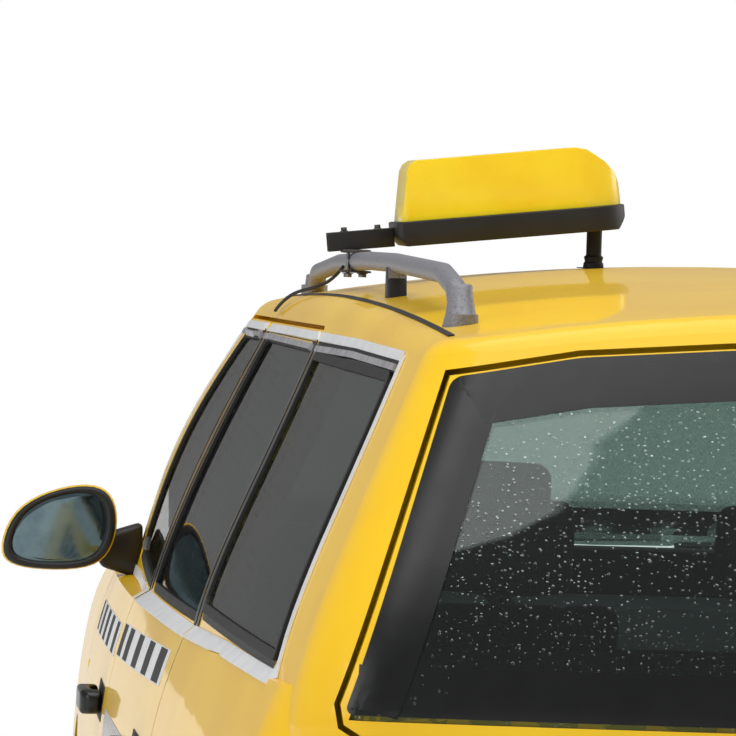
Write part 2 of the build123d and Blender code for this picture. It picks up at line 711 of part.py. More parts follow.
dash = joined(
    cut(common(dashboard.part, whole(cabin_void)), rod(WHEEL_CENTRE, WHEEL_CENTRE - steering_normal * (SHAFT_LENGTH + 1), SHAFT_R + RUN_FIT)),
    sleeve,
)

SEAT_WIDTH = 500
SEAT_PROFILE = [
    (-470, 340), (-480, 430), (-440, 470), (20, 452), (190, 1000), (250, 1010), (300, 985), (150, 420), (60, 330),
]
HEADREST = [(215, 1060), (225, 1195), (290, 1205), (320, 1180), (300, 1050)]
BENCH_HALF = 618
BENCH_PROFILE = [
    (440, 330), (430, 440), (470, 490), (900, 490), (1010, 990), (1060, 1000), (1110, 980), (1015, 481), (811, 481),
    (810, 330),
]
BENCH_HEADREST = [(1030, 1045), (1050, 1175), (1095, 1190), (1130, 1170), (1115, 1040)]


def slab(points, x0, x1, corner):
    """Cushion body: a side-view outline with rounded corners, from x0 to x1."""
    with BuildPart() as solid:
        with BuildSketch(Plane.YZ.offset(x0)) as outline:
            with BuildLine():
                Polyline(*points, close=True)
            make_face()
            fillet(outline.vertices(), corner)
        extrude(amount=x1 - x0)
    return solid.part


front_seat = joined(
    slab(SEAT_PROFILE, DRIVER_X - SEAT_WIDTH / 2, DRIVER_X + SEAT_WIDTH / 2, 20),
    slab(HEADREST, DRIVER_X - 130, DRIVER_X + 130, 12),
    block(DRIVER_X - 200, DRIVER_X + 200, -400, 40, FLOOR_Z, 350),
    rod((DRIVER_X - 60, 240, 960), (DRIVER_X - 60, 262, 1090), 7),
    rod((DRIVER_X + 60, 240, 960), (DRIVER_X + 60, 262, 1090), 7),
)
bench_half = joined(
    slab(BENCH_PROFILE, 0, BENCH_HALF, 10),
    block(0, 560, 480, HEEL_Y - 10, FLOOR_Z, 350),
    slab(BENCH_HEADREST, 300, 490, 12),
    slab(BENCH_HEADREST, 0, 120, 12),
    rod((395, 1055, 950), (395, 1080, 1080), 7),
    rod((60, 1055, 950), (60, 1080, 1080), 7),
)

# Roof rails, sign and its cable
RAIL_R = 13
RAIL_PATH = [
    (559, -230, 1414), (558, -168, 1455), (552, 160, 1473), (548, 620, 1482), (546, 1002, 1484), (541, 1602, 1479),
    (539, 1742, 1463), (536, 1802, 1408),
]


def tube(points, radius):
    """Round bar through straight runs with rounded corners where they meet."""
    with BuildPart() as solid:
        with BuildLine() as path:
            FilletPolyline(*points, radius=36)
        with BuildSketch(Plane(origin=path.line @ 0, z_dir=path.line % 0)):
            Circle(radius)
        sweep()
    return solid.part


def roof_z(x, y):
    return ROOF_TOP_Z - (y - ROOF_PEAK_Y) ** 2 / (2 * ROOF_LENGTH_R) - x ** 2 / (2 * ROOF_WIDTH_R)


rail = cut(
    joined(
        tube(RAIL_PATH, RAIL_R),
        *[
            along_z(x, y, 20, roof_z(x, y) - 8, roof_z(x, y) + 12)
            for x, y in ((559, -228), (536, 1800))
        ],
        block(534, 558, 985, 1020, roof_z(546, 1002) - 8, 1484),
    ),
    OUTER,
)

SIGN_Y = 416
SIGN_DEPTH = 150
SIGN_LEFT_X = 497
SIGN_RIGHT_X = 167
SIGN_LEFT_Z = 1501
SIGN_RIGHT_Z = 1538
SIGN_BASE = 35
DOME_HEIGHT = 87
sign_width = hypot(SIGN_LEFT_X - SIGN_RIGHT_X, SIGN_RIGHT_Z - SIGN_LEFT_Z)
sign_plane = Plane(
    origin=(SIGN_LEFT_X, SIGN_Y, SIGN_LEFT_Z),
    x_dir=(SIGN_RIGHT_X - SIGN_LEFT_X, 0, SIGN_RIGHT_Z - SIGN_LEFT_Z),
    z_dir=(0, -1, 0),
)
sign_level = Plane(
    origin=(SIGN_LEFT_X, SIGN_Y, SIGN_LEFT_Z),
    x_dir=(SIGN_RIGHT_X - SIGN_LEFT_X, 0, SIGN_RIGHT_Z - SIGN_LEFT_Z),
    z_dir=(SIGN_RIGHT_Z - SIGN_LEFT_Z, 0, SIGN_LEFT_X - SIGN_RIGHT_X),
)
SIGN_CORNER = 12
SIGN_NOSE = 66
DOME_INSET = 6


def sign_prism(points, depth):
    """Prism along the car over an outline in the sign's own plane, (from its left end, above its underside)."""
    with BuildPart() as solid:
        with BuildSketch(sign_plane.offset(-depth / 2)):
            with BuildLine():
                Polyline(*[(across, -above) for across, above in points], close=True)
            make_face()
        extrude(amount=depth)
    return solid.part


def nose_prism(start, end, depth):
    """Upright prism over the sign's plan: small corners at its left end and a round nose at its right."""
    with BuildPart() as solid:
        with BuildSketch(sign_level) as outline:
            with Locations(((start + end) / 2, 0)):
                Rectangle(end - start, depth)
            fillet(outline.vertices().sort_by(Axis.X)[:2], SIGN_CORNER)
            fillet(outline.vertices().sort_by(Axis.X)[-2:], SIGN_NOSE)
        extrude(amount=SIGN_BASE + 2 * DOME_HEIGHT)
    return solid.part


sign_base = common(
    sign_prism(
        [(12, 0), (0, 16), (0, SIGN_BASE), (sign_width, SIGN_BASE), (sign_width, 18), (sign_width - 14, 0)], SIGN_DEPTH
    ),
    nose_prism(0, sign_width, SIGN_DEPTH),
)
sign_dome = common(
    sign_prism(
        [
            (7, SIGN_BASE), (20, SIGN_BASE + 70), (34, SIGN_BASE + DOME_HEIGHT), (266, SIGN_BASE + DOME_HEIGHT),
            (304, SIGN_BASE + 65), (322, SIGN_BASE + 38), (sign_width - 5, SIGN_BASE),
        ],
        SIGN_DEPTH - 2 * DOME_INSET,
    ),
    nose_prism(DOME_INSET, sign_width - 4, SIGN_DEPTH - 2 * DOME_INSET),
)
BAR = 27
CLAMP_X = 552
with BuildPart() as sign_bracket:
    with BuildSketch(sign_plane.offset(-BAR / 2)):
        with Locations((-47.5, -14)):
            Rectangle(95, BAR)
    extrude(amount=BAR)
    add(block(CLAMP_X - 22, CLAMP_X + 22, SIGN_Y - 26, SIGN_Y + 26, 1466, 1500))
POST_X = 211
POST_R = 11
with BuildPart() as sign_post:
    add(along_z(POST_X, SIGN_Y, POST_R, roof_z(POST_X, SIGN_Y) - 6, SIGN_RIGHT_Z - 2))
    add(along_z(POST_X, SIGN_Y, POST_R + 4, roof_z(POST_X, SIGN_Y) - 6, roof_z(POST_X, SIGN_Y) + 12))
bracket = cut(joined(sign_bracket.part, sign_post.part), OUTER, sign_base, rail)

# Cable from the sign's clamp to the top of the rear door frame, lying over the roof's edge
CABLE_R = 2.5
CABLE_PATH = [(567, 388, 1470), (578, 350, 1450), (600, 280, 1437), (622, 210, 1429), (638, 150, 1411), (642, 112, 1400)]
with BuildPart() as sign_cable:
    with BuildLine() as cable_line:
        Spline(*CABLE_PATH)
    with BuildSketch(Plane(origin=cable_line.line @ 0, z_dir=cable_line.line % 0)):
        Circle(CABLE_R)
    sweep()

# Door mirrors, exhaust, wipers
# Mirror rim seen from behind, (x, z), and how it shrinks towards its front, (y, share of the rim's size)
MIRROR_RIM = [
    (1005, 990), (986, 1052), (930, 1084), (868, 1097), (832, 1084), (821, 1040), (831, 990), (862, 963), (940, 960),
    (990, 967),
]
MIRROR_MIDDLE = (915, 1028)
MIRROR_SECTIONS = [(-775, 1.0), (-812, 0.97), (-850, 0.62)]
MIRROR_FOOT_Z = (962, 1012)
with BuildPart() as mirror_shell:
    for y, share in MIRROR_SECTIONS:
        with BuildSketch(Plane(origin=(MIRROR_MIDDLE[0], y, MIRROR_MIDDLE[1]), x_dir=(1, 0, 0), z_dir=(0, -1, 0))):
            with BuildLine():
                Spline(
                    *[((x - MIRROR_MIDDLE[0]) * share, (z - MIRROR_MIDDLE[1]) * share) for x, z in MIRROR_RIM],
                    periodic=True,
                )
            make_face()
    loft()
mirror_left = cut(joined(mirror_shell.part, block(740, 845, -845, -790, *MIRROR_FOOT_Z)), OUTER)
exhaust = joined(
    rod((-250, -1150, 156.7), (-250, 856, 156.7), 28),
    rod((-250, 856, 156.7), (-380, 1900, 235), 28),
    block(-560, -300, 1890, 2080, 200, 360),
    rod((-430, 2060, 215), (-430, 2130, 150), 24),
    rod((-430, 2130, 150), (-430, 2290, 150), 24),
)
wipers = cut(joined(
    rod((450, -1215, 972), (450, -1215, 1003), 10),
    rod((450, -1215, 1000), (-120, -1262, 1014), 6),
    rod((-150, -1240, 972), (-150, -1240, 1006), 10),
    rod((-150, -1240, 1002), (-620, -1165, 1016), 6),
), OUTER, mirrored(OUTER))


BODY_NODES = {
    "bonnet": whole(bonnet_half), "tailgate": whole(tail_half), "tailgate_glass": whole(tail_glass_half),
    "windscreen": whole(screen_half), "front_bumper": whole(front_bumper_half), "grille": whole(grille_half),
    "front_structure": whole(front_structure_half), "scuttle": whole(scuttle_half), "floor_pan": whole(floor_half),
    "roof_panel": whole(roof_half), "rear_bumper": whole(rear_bumper_half), "dashboard": dash,
    "steering_wheel": steering_wheel.part, "rear_bench": whole(bench_half), "front_axle": front_axle,
    "rear_axle": rear_axle, "engine_block": engine_block, "exhaust": exhaust, "sign_base": sign_base,
    "sign_dome": sign_dome, "sign_bracket": bracket, "sign_cable": sign_cable.part, "wipers": wipers,
}
PAIRS = {
    "front_door": front_door, "front_door_glass": front_door_glass, "rear_door": rear_door,
    "rear_door_glass": rear_door_glass, "quarter_glass": quarter_glass, "headlamp": headlamp,
    "front_wing": front_wing, "tail_lamp": tail_lamp, "side_frame": side_frame, "front_seat": front_seat,
    "roof_rail": rail, "mirror": mirror_left, "front_tyre": front_tyre, "front_rim": front_rim,
    "rear_tyre": rear_tyre, "rear_rim": rear_rim, "front_knuckle": knuckle,
}
for name, piece in BODY_NODES.items():
    save(piece, name)
for name, piece in PAIRS.items():
    save_pair(piece, name)
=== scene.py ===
# %% [markdown]
# The finishing of a taxi: an estate car with roof rails and a lit roof sign.
# The rigid shapes come from the CAD model and stay where they are. This script gives every part its finish,
# and adds what the CAD leaves plain: trim strips, seals, lamps' insides, tyres' tread, seats and stickers.

# %% Open the CAD model
import json
import math

import bpy
from mathutils import Matrix, Vector

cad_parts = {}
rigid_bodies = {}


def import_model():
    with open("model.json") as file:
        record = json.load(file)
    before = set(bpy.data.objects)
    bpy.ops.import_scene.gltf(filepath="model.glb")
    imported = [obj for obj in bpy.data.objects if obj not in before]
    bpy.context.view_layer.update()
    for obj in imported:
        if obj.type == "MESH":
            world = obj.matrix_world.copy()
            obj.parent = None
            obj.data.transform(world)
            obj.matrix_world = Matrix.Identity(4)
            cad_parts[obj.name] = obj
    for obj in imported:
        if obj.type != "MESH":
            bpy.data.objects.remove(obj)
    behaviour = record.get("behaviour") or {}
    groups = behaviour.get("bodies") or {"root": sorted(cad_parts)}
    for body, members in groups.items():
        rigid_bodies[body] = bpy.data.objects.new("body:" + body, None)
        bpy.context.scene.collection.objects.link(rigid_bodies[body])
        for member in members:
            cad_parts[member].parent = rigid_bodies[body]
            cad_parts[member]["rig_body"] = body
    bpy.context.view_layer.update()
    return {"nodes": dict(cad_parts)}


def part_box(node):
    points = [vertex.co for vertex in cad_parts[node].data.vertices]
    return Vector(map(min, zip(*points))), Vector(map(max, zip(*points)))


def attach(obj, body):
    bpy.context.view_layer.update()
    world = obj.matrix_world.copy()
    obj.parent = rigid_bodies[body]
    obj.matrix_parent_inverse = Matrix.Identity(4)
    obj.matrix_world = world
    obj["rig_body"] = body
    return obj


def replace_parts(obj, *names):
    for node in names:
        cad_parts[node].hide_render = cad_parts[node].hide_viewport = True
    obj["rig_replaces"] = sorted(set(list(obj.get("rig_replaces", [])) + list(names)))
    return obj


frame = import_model()

# %% [markdown]
# Colours are picked as they look on a screen, as hex codes, and a render works in linear light.
# So one function turns a code into linear numbers, and every finish goes through it.
# A second function adds one node with its settings and links, which keeps each finish short to read. A third
# lets one pattern drive colour, bump and shine together, as dirt and grain do on a real surface.


# %% Colour and node helpers
def srgb(code):
    """Linear RGBA of an sRGB hex code."""
    channels = [int(code[i : i + 2], 16) / 255 for i in (1, 3, 5)]
    linear = [c / 12.92 if c <= 0.04045 else ((c + 0.055) / 1.055) ** 2.4 for c in channels]
    return (*linear, 1.0)


OBJECT = "object coordinates"


def add_node(finish, kind, settings=None, inputs=None):
    """Adds a node; inputs maps a socket's name or number to a value, a node's output or OBJECT."""
    node = finish.node_tree.nodes.new("ShaderNode" + kind)
    for name, value in (settings or {}).items():
        setattr(node, name, value)
    for name, value in (inputs or {}).items():
        if value == OBJECT:
            value = add_node(finish, "TexCoord").outputs["Object"]
        if isinstance(value, bpy.types.NodeSocket):
            finish.node_tree.links.new(value, node.inputs[name])
        else:
            node.inputs[name].default_value = value
    return node


def new_finish(name, **shader):
    """A material with one Principled shader, whose even values are set on its own sockets."""
    finish = bpy.data.materials.new(name)
    finish.use_nodes = True
    principled = finish.node_tree.nodes["Principled BSDF"]
    for socket, value in shader.items():
        principled.inputs[socket.replace("_", " ")].default_value = value
    return finish, principled


def link(finish, output, socket):
    finish.node_tree.links.new(output, socket)


def use_pattern(finish, shader, pattern, stops=(), bump=None, shine=None):
    """Lets a pattern set the colour by ramp stops (place, hex code), the bump by (strength, metres) and the
    roughness by (lowest, highest)."""
    if bump:
        relief = add_node(finish, "Bump", {}, {"Height": pattern, "Strength": bump[0], "Distance": bump[1]})
        link(finish, relief.outputs["Normal"], shader.inputs["Normal"])
    if shine:
        gloss = add_node(finish, "MapRange", {}, {"Value": pattern, "To Min": shine[0], "To Max": shine[1]})
        link(finish, gloss.outputs[0], shader.inputs["Roughness"])
    if stops:
        tone = add_node(finish, "ValToRGB", {}, {"Fac": pattern})
        while len(tone.color_ramp.elements) < len(stops):
            tone.color_ramp.elements.new(0.5)
        for element, (place, code) in zip(tone.color_ramp.elements, stops):
            element.position = place
            element.color = srgb(code)
        link(finish, tone.outputs["Color"], shader.inputs["Base Color"])


# %% [markdown]
# Rain has just fallen on the car. A drop on paint or glass is a small dome, up to 5 mm across.
# Voronoi cells give each drop its place, and the distance from the cell's centre gives the dome's height,
# so the same nodes work on paint and on glass. The cells are 9 mm, the real spacing of light rain.


# %% Rain drops as bump
DROP_EDGE, DROP_HEIGHT = 8.0, 0.002


def rain_bump(finish, strength, cell_mm=9.0, cover=0.30):
    """Drops on the surface: their normal and their height."""
    cells = add_node(
        finish, "TexVoronoi", {"feature": "F1"},
        {"Vector": OBJECT, "Scale": 1000 / cell_mm, "Randomness": 1.0},
    )
    size = add_node(finish, "SeparateColor", {}, {"Color": cells.outputs["Color"]})
    reach = add_node(finish, "Math", {"operation": "MULTIPLY"}, {0: size.outputs["Red"], 1: cover})
    dome = add_node(finish, "Math", {"operation": "SUBTRACT", "use_clamp": True},
                    {0: reach.outputs[0], 1: cells.outputs["Distance"]})
    steep = add_node(finish, "Math", {"operation": "MULTIPLY", "use_clamp": True},
                     {0: dome.outputs[0], 1: DROP_EDGE})
    bump = add_node(finish, "Bump", {},
                    {"Height": steep.outputs[0], "Strength": strength, "Distance": DROP_HEIGHT})
    return bump.outputs["Normal"], steep.outputs[0]


# %% [markdown]
# Taxi paint is a solid yellow under clear lacquer, sprayed and polished: a rough coloured layer under
# a very smooth coat. Solid paint is not quite even, so a slow noise moves its brightness by a few percent.

# %% Yellow lacquered paint
taxi_paint, shader = new_finish("yellow_lacquered_paint", Roughness=0.45, Specular_IOR_Level=0.3,
                               Coat_Weight=0.5, Coat_Roughness=0.04, Coat_IOR=1.35)
cloud = add_node(taxi_paint, "TexNoise", {},
                 {"Vector": OBJECT, "Scale": 3.0, "Detail": 3.0})
use_pattern(taxi_paint, shader, cloud.outputs["Fac"], ((0.3, "#EBB802"), (0.7, "#F5C80A")))
drops = rain_bump(taxi_paint, 0.25)[0]
link(taxi_paint, drops, shader.inputs["Coat Normal"])

# %% [markdown]
# Car glass is seen both as a mirror and as a clear pane. A refracting shader on a thin pane makes the cabin
# black, because no light reaches in. So the pane is a mix: a tinted see-through part, and a mirror part that
# grows at glancing angles, as on real glass. mirror sets how much of the real reflection is kept.


# %% Window glass
def window_glass(name, tint, rain, mirror=0.5):
    glass = bpy.data.materials.new(name)
    glass.use_nodes = True
    nodes = glass.node_tree.nodes
    nodes.remove(nodes["Principled BSDF"])
    normal, drop = rain_bump(glass, rain, 7.0, 0.34)
    clear = add_node(glass, "BsdfTransparent", {}, {"Color": srgb(tint)})
    gloss = add_node(glass, "BsdfGlossy", {}, {"Color": (1, 1, 1, 1), "Roughness": 0.02, "Normal": normal})
    edge = add_node(glass, "Fresnel", {}, {"IOR": 1.5, "Normal": normal})
    weaker = add_node(glass, "Math", {"operation": "MULTIPLY"}, {0: edge.outputs[0], 1: mirror})
    milky = add_node(glass, "Math", {"operation": "MULTIPLY_ADD", "use_clamp": True},
                     {0: drop, 1: 0.10, 2: weaker.outputs[0]})
    pane = add_node(glass, "MixShader", {}, {0: milky.outputs[0], 1: clear.outputs[0], 2: gloss.outputs[0]})
    link(glass, pane.outputs[0], nodes["Material Output"].inputs["Surface"])
    return glass


side_glass = window_glass("tinted_side_glass", "#8A9794", 0.5)
rear_glass = window_glass("tinted_rear_glass", "#DCE8E4", 0.3, 0.8)
print("glass finishes:", side_glass.name, rear_glass.name)

# %% [markdown]
# Moulded plastic has a fine grain from the tool, about 0.5 mm between its peaks. At this distance it only
# shows as a soft, broken highlight. Rubber seals are darker and duller.


# %% Moulded plastics, rubber and metals
def moulded(name, code, grain_mm, roughness, depth=0.25, *, second):
    """Moulded plastic or rubber: an even colour, a grain in the bump and slow changes in shine."""
    finish, shader = new_finish(name)
    grain = add_node(finish, "TexNoise", {},
                     {"Vector": OBJECT, "Scale": 1000 / grain_mm, "Detail": 2.0})
    use_pattern(finish, shader, grain.outputs["Fac"], bump=(depth, 0.0006))
    cloud = add_node(finish, "TexNoise", {},
                     {"Vector": OBJECT, "Scale": 18.0, "Detail": 4.0})
    use_pattern(finish, shader, cloud.outputs["Fac"], ((0.35, code), (0.65, second)),
                shine=(roughness - 0.08, roughness + 0.08))
    return finish


black_plastic = moulded("black_grained_abs", "#141416", 1.2, 0.5, second="#1B1B1E")
gloss_black = moulded("black_gloss_pillar_film", "#050607", 4.0, 0.30, 0.05, second="#08090A")
seal_rubber = moulded("window_seal_rubber", "#0E0E0F", 2.0, 0.62, second="#151516")
tyre_rubber = moulded("tyre_rubber", "#1A1A1B", 1.5, 0.78, 0.4, second="#232324")
cabin_trim = moulded("charcoal_cabin_trim", "#2A2C30", 1.4, 0.7, 0.5, second="#303238")
pale_trim = moulded("grey_cabin_trim", "#7E8183", 1.4, 0.75, 0.4, second="#888B8C")
roof_lining = moulded("woven_roof_lining", "#B9B8B2", 2.2, 0.9, 0.6, second="#C2C1BB")
carpet = moulded("needle_felt_carpet", "#1F2023", 2.5, 0.95, 1.0, second="#2C2D31")
under_coat = moulded("black_underbody_coating", "#161617", 6.0, 0.8, 0.8, second="#222221")
cast_iron = moulded("cast_iron_running_gear", "#3A3836", 3.0, 0.75, 0.9, second="#4A4440")
white_plate = moulded("white_plate_enamel", "#E9E9E4", 8.0, 0.3, 0.05, second="#EFEFEA")
print("plastics and rubber ready")


# %% [markdown]
# The window strips are bright anodised aluminium, and a grey copy of it runs below them: painted shade on the
# trim's lower face. Wheels are silver lacquered alloy. The roof rails were painted silver long ago: the paint is
# chalky, with dark chips.


# %% Metals
def metal(name, code, roughness, second, spot_mm=40.0, metallic=1.0):
    finish, shader = new_finish(name, Metallic=metallic)
    cloud = add_node(finish, "TexNoise", {},
                     {"Vector": OBJECT, "Scale": 1000 / spot_mm, "Detail": 5.0, "Roughness": 0.6})
    use_pattern(finish, shader, cloud.outputs["Fac"], ((0.4, code), (0.62, second)),
                shine=(roughness * 0.8, roughness * 1.3))
    return finish


bright_strip = metal("bright_anodised_strip", "#ECEDEE", 0.30, "#DFE1E3", 40.0, 0.25)
# This grey copy of the bright trim is painted shade: the lower face of the window's head trim in shadow.
shade_strip_metal = metal("grey_weathered_strip", "#A3A2A6", 0.4, "#8A898E", 25.0, 0.3)
silver_alloy = metal("silver_lacquered_alloy", "#B9BCC0", 0.3, "#A9ACB1")
dull_steel = metal("dull_exhaust_steel", "#75706A", 0.42, "#5A544E", 30.0)
zinc_bolt = metal("zinc_plated_bolt", "#8D8E90", 0.35, "#5C5A58", 6.0)
mirror_metal = metal("mirror_silvering", "#6F8286", 0.04, "#5C6E74", 60.0)
chrome = metal("chrome_reflector", "#E6E8EA", 0.08, "#DADDE0")
worn_rail, shader = new_finish("chalky_silver_rail_paint", Metallic=0.35, Roughness=0.5)
speck = add_node(worn_rail, "TexNoise", {},
                 {"Vector": OBJECT, "Scale": 260.0, "Detail": 4.0, "Roughness": 0.7})
use_pattern(worn_rail, shader, speck.outputs["Fac"], ((0.30, "#47474B"), (0.38, "#77777D"), (0.62, "#8B8B91")),
            bump=(0.4, 0.0008))
print("metals ready")

# %% [markdown]
# Lamps and the sign are coloured clear plastics. The sign's dome is a thin moulded acrylic shell that glows a
# little from inside in daylight, so some light passes under its surface. Lens plastics pass coloured light.

# %% Sign and lens plastics
sign_yellow, shader = new_finish("yellow_acrylic_dome", Roughness=0.28, Subsurface_Weight=0.25,
                                 Subsurface_Scale=0.02, Coat_Weight=0.4, Coat_Roughness=0.1)
cloud = add_node(sign_yellow, "TexNoise", {},
                 {"Vector": OBJECT, "Scale": 14.0, "Detail": 3.0})
use_pattern(sign_yellow, shader, cloud.outputs["Fac"], ((0.3, "#F3D200"), (0.7, "#F8DE16")))


def lens_plastic(name, code, rib_mm, roughness=0.06):
    """Clear coloured lens with moulded ribs on it."""
    finish, shader = new_finish(name, Roughness=roughness, Transmission_Weight=0.35, IOR=1.49, Coat_Weight=0.5)
    ribs = add_node(finish, "TexWave", {"bands_direction": "Z"},
                    {"Vector": OBJECT, "Scale": 159.0 / rib_mm, "Distortion": 0.4})
    use_pattern(finish, shader, ribs.outputs["Fac"], ((0.0, code), (1.0, code)), bump=(0.35, 0.001))
    return finish


red_lens = lens_plastic("red_acrylic_lens", "#A30A0A", 5.0)
amber_lens = lens_plastic("amber_acrylic_lens", "#E07A0C", 5.0)
clear_lens = window_glass("clear_polycarbonate_lens", "#EFF2F2", 0.15)
print("lens plastics ready")

# %% [markdown]
# Each CAD part is one solid with one finish on the file, but a real door is painted outside and trimmed
# inside. The faces already know which way they point, so they are sorted by that and given two finishes.

# %% Finishes for the CAD parts
SIDES = (("left", 1), ("right", -1))
FRONT_AXLE, REAR_AXLE, HUB_Z, TRACK_X = -1.435, 1.268, 0.316, 0.757
ARCH_Z, ARCH_INNER_X, ARCH_OUTER_X = 0.324, 0.46, 0.822
ARCH_RADIUS = ((FRONT_AXLE, 0.387), (REAR_AXLE, 0.374))
UNDERSIDE_Z, AMBER_LOW, AMBER_HIGH = 0.3, 0.79, 0.85


def near_wheel(c):
    """True for a face that lines a wheel arch."""
    across = ARCH_INNER_X < abs(c.x) < ARCH_OUTER_X
    return across and any(math.hypot(c.y - axle, c.z - ARCH_Z) < reach for axle, reach in ARCH_RADIUS)


def looks_inward(sign):
    """A test for the lined faces of a side panel: those that look into the cabin, and the low inner edges."""
    def test(c, n):
        return n.x * sign < -0.25 and abs(c.x) < 0.83 or (abs(n.x) < 0.2 and abs(c.x) < 0.73 and c.z < 1.0)
    return test


def dress(node, outside, inside=None, is_inside=None):
    """Gives a CAD node its finish, and a second one where is_inside(centre, normal) is true."""
    mesh = frame["nodes"][node].data
    mesh.materials.clear()
    for finish in (outside, inside or outside, under_coat):
        mesh.materials.append(finish)
    for face in mesh.polygons:
        c, n = face.center, face.normal
        face.material_index = 0
        if is_inside and is_inside(c, n):
            face.material_index = 1
        elif outside is taxi_paint and (near_wheel(c) or (n.z < -0.7 and c.z < UNDERSIDE_Z)):
            face.material_index = 2


SIDE_FINISHES = (
    (taxi_paint, ("mirror",)), (side_glass, ("front_door_glass", "rear_door_glass", "quarter_glass")),
    (clear_lens, ("headlamp",)), (cabin_trim, ("front_seat",)), (worn_rail, ("roof_rail",)),
    (tyre_rubber, ("front_tyre", "rear_tyre")), (silver_alloy, ("front_rim", "rear_rim")),
    (cast_iron, ("front_knuckle",)),
)
for side, sign in SIDES:
    for node in ("front_door", "rear_door", "side_frame"):
        dress(f"{node}_{side}", taxi_paint, pale_trim, looks_inward(sign))
    dress(f"front_wing_{side}", taxi_paint, under_coat, lambda c, n, s=sign: n.x * s < -0.3)
    dress(f"tail_lamp_{side}", red_lens, amber_lens, lambda c, n: AMBER_LOW < c.z < AMBER_HIGH)
    for finish, nodes in SIDE_FINISHES:
        for node in nodes:
            dress(f"{node}_{side}", finish)
dress("roof_panel", taxi_paint, roof_lining, lambda c, n: n.z < -0.1)
dress("bonnet", taxi_paint, under_coat, lambda c, n: n.z < -0.1)
dress("tailgate", taxi_paint, pale_trim, lambda c, n: n.y < -0.1)
dress("front_bumper", taxi_paint, under_coat, lambda c, n: n.y > 0.1)
dress("rear_bumper", taxi_paint, under_coat, lambda c, n: n.y < -0.1)
dress("floor_pan", under_coat, carpet, lambda c, n: n.z > 0.3 or abs(n.y) > 0.9)
MIDDLE_FINISHES = (
    (rear_glass, ("tailgate_glass", "windscreen")), (cast_iron, ("front_axle", "rear_axle", "engine_block")),
    (black_plastic, ("grille", "scuttle", "wipers", "sign_base", "sign_bracket", "sign_cable")),
    (under_coat, ("front_structure",)), (cabin_trim, ("dashboard", "steering_wheel", "rear_bench")),
    (dull_steel, ("exhaust",)), (sign_yellow, ("sign_dome",)),
)
for finish, nodes in MIDDLE_FINISHES:
    for node in nodes:
        dress(node, finish)
print("CAD nodes dressed:", len(frame["nodes"]))

# %% [markdown]
# The camera stands behind the car's left corner with a long lens, 12 metres from the far mirror. Its place was
# found from points on the photograph. A camera looks along its own -Z, so its three axes are written as columns.

# %% Camera
CAMERA_PLACE = Vector((1.351, 9.911, 1.571))
YAW, PITCH, ROLL = math.radians(4.947), math.radians(1.465), math.radians(1.843)
FOCAL_PIXELS, FRAME_PIXELS, SENSOR_MM = 6690.8, 736, 36.0
forward = Vector((-math.sin(YAW) * math.cos(PITCH), -math.cos(YAW) * math.cos(PITCH), -math.sin(PITCH)))
level_right = forward.cross(Vector((0, 0, 1))).normalized()
level_up = level_right.cross(forward)
right = math.cos(ROLL) * level_right + math.sin(ROLL) * level_up
up = -math.sin(ROLL) * level_right + math.cos(ROLL) * level_up
bpy.ops.object.camera_add()
camera = bpy.context.object
camera.name = "camera"
camera.matrix_world = Matrix.Translation(CAMERA_PLACE) @ Matrix((right, up, -forward)).transposed().to_4x4()
camera.data.lens = SENSOR_MM * FOCAL_PIXELS / FRAME_PIXELS
camera.data.sensor_width = SENSOR_MM
camera.data.clip_end = 200
bpy.context.scene.camera = camera
print("lens, mm:", round(camera.data.lens, 1))

# %% [markdown]
# The street is bright and overcast, so the light is wide and soft: a big panel overhead and two at the sides.
# The floor is a pale disc. Far out its material turns into even white, so no horizon line shows. Rays from the
# camera or through clear glass see the world as plain white. Rays from a mirror see it dimmer, because a white
# sky in every reflection would wash the yellow paint out.

# %% Floor, world and lamps
FLOOR_PLAIN, FLOOR_WHITE = 3.5, 9.0
WORLD_FILL, WORLD_SEEN, MIRROR_DIM = 0.55, 1.0, -0.22
bpy.ops.mesh.primitive_circle_add(vertices=96, radius=60, fill_type="NGON")
floor = bpy.context.object
floor.name = "floor"
pale_floor, shader = new_finish("pale_studio_floor", Base_Color=srgb("#E6E6E4"), Roughness=0.6)
far = add_node(pale_floor, "VectorMath", {"operation": "LENGTH"}, {0: OBJECT})
fade = add_node(pale_floor, "MapRange", {},
                {"Value": far.outputs["Value"], "From Min": FLOOR_PLAIN, "From Max": FLOOR_WHITE})
white = add_node(pale_floor, "Emission", {}, {"Color": (1, 1, 1, 1), "Strength": 1.0})
blend = add_node(pale_floor, "MixShader", {},
                 {0: fade.outputs[0], 1: shader.outputs[0], 2: white.outputs[0]})
link(pale_floor, blend.outputs[0], pale_floor.node_tree.nodes["Material Output"].inputs["Surface"])
floor.data.materials.append(pale_floor)

world = bpy.context.scene.world or bpy.data.worlds.new("world")
bpy.context.scene.world = world
world.use_nodes = True
back = world.node_tree.nodes["Background"]
back.inputs["Color"].default_value = (1, 1, 1, 1)
rays = add_node(world, "LightPath")
seen = add_node(world, "Math", {"operation": "MAXIMUM"},
                {0: rays.outputs["Is Camera Ray"], 1: rays.outputs["Is Transmission Ray"]})
level = add_node(world, "MapRange", {},
                 {"Value": seen.outputs[0], "To Min": WORLD_FILL, "To Max": WORLD_SEEN})
dimmed = add_node(world, "Math", {"operation": "MULTIPLY_ADD"},
                  {0: rays.outputs["Is Glossy Ray"], 1: MIRROR_DIM, 2: level.outputs[0]})
link(world, dimmed.outputs[0], back.inputs["Strength"])


def soft_panel(name, place, target, size, power):
    """A square lamp that faces a point."""
    bpy.ops.object.light_add(type="AREA", location=place)
    lamp = bpy.context.object
    lamp.name = name
    lamp.data.size = size
    lamp.data.energy = power
    lamp.rotation_euler = (Vector(target) - Vector(place)).to_track_quat("-Z", "Y").to_euler()


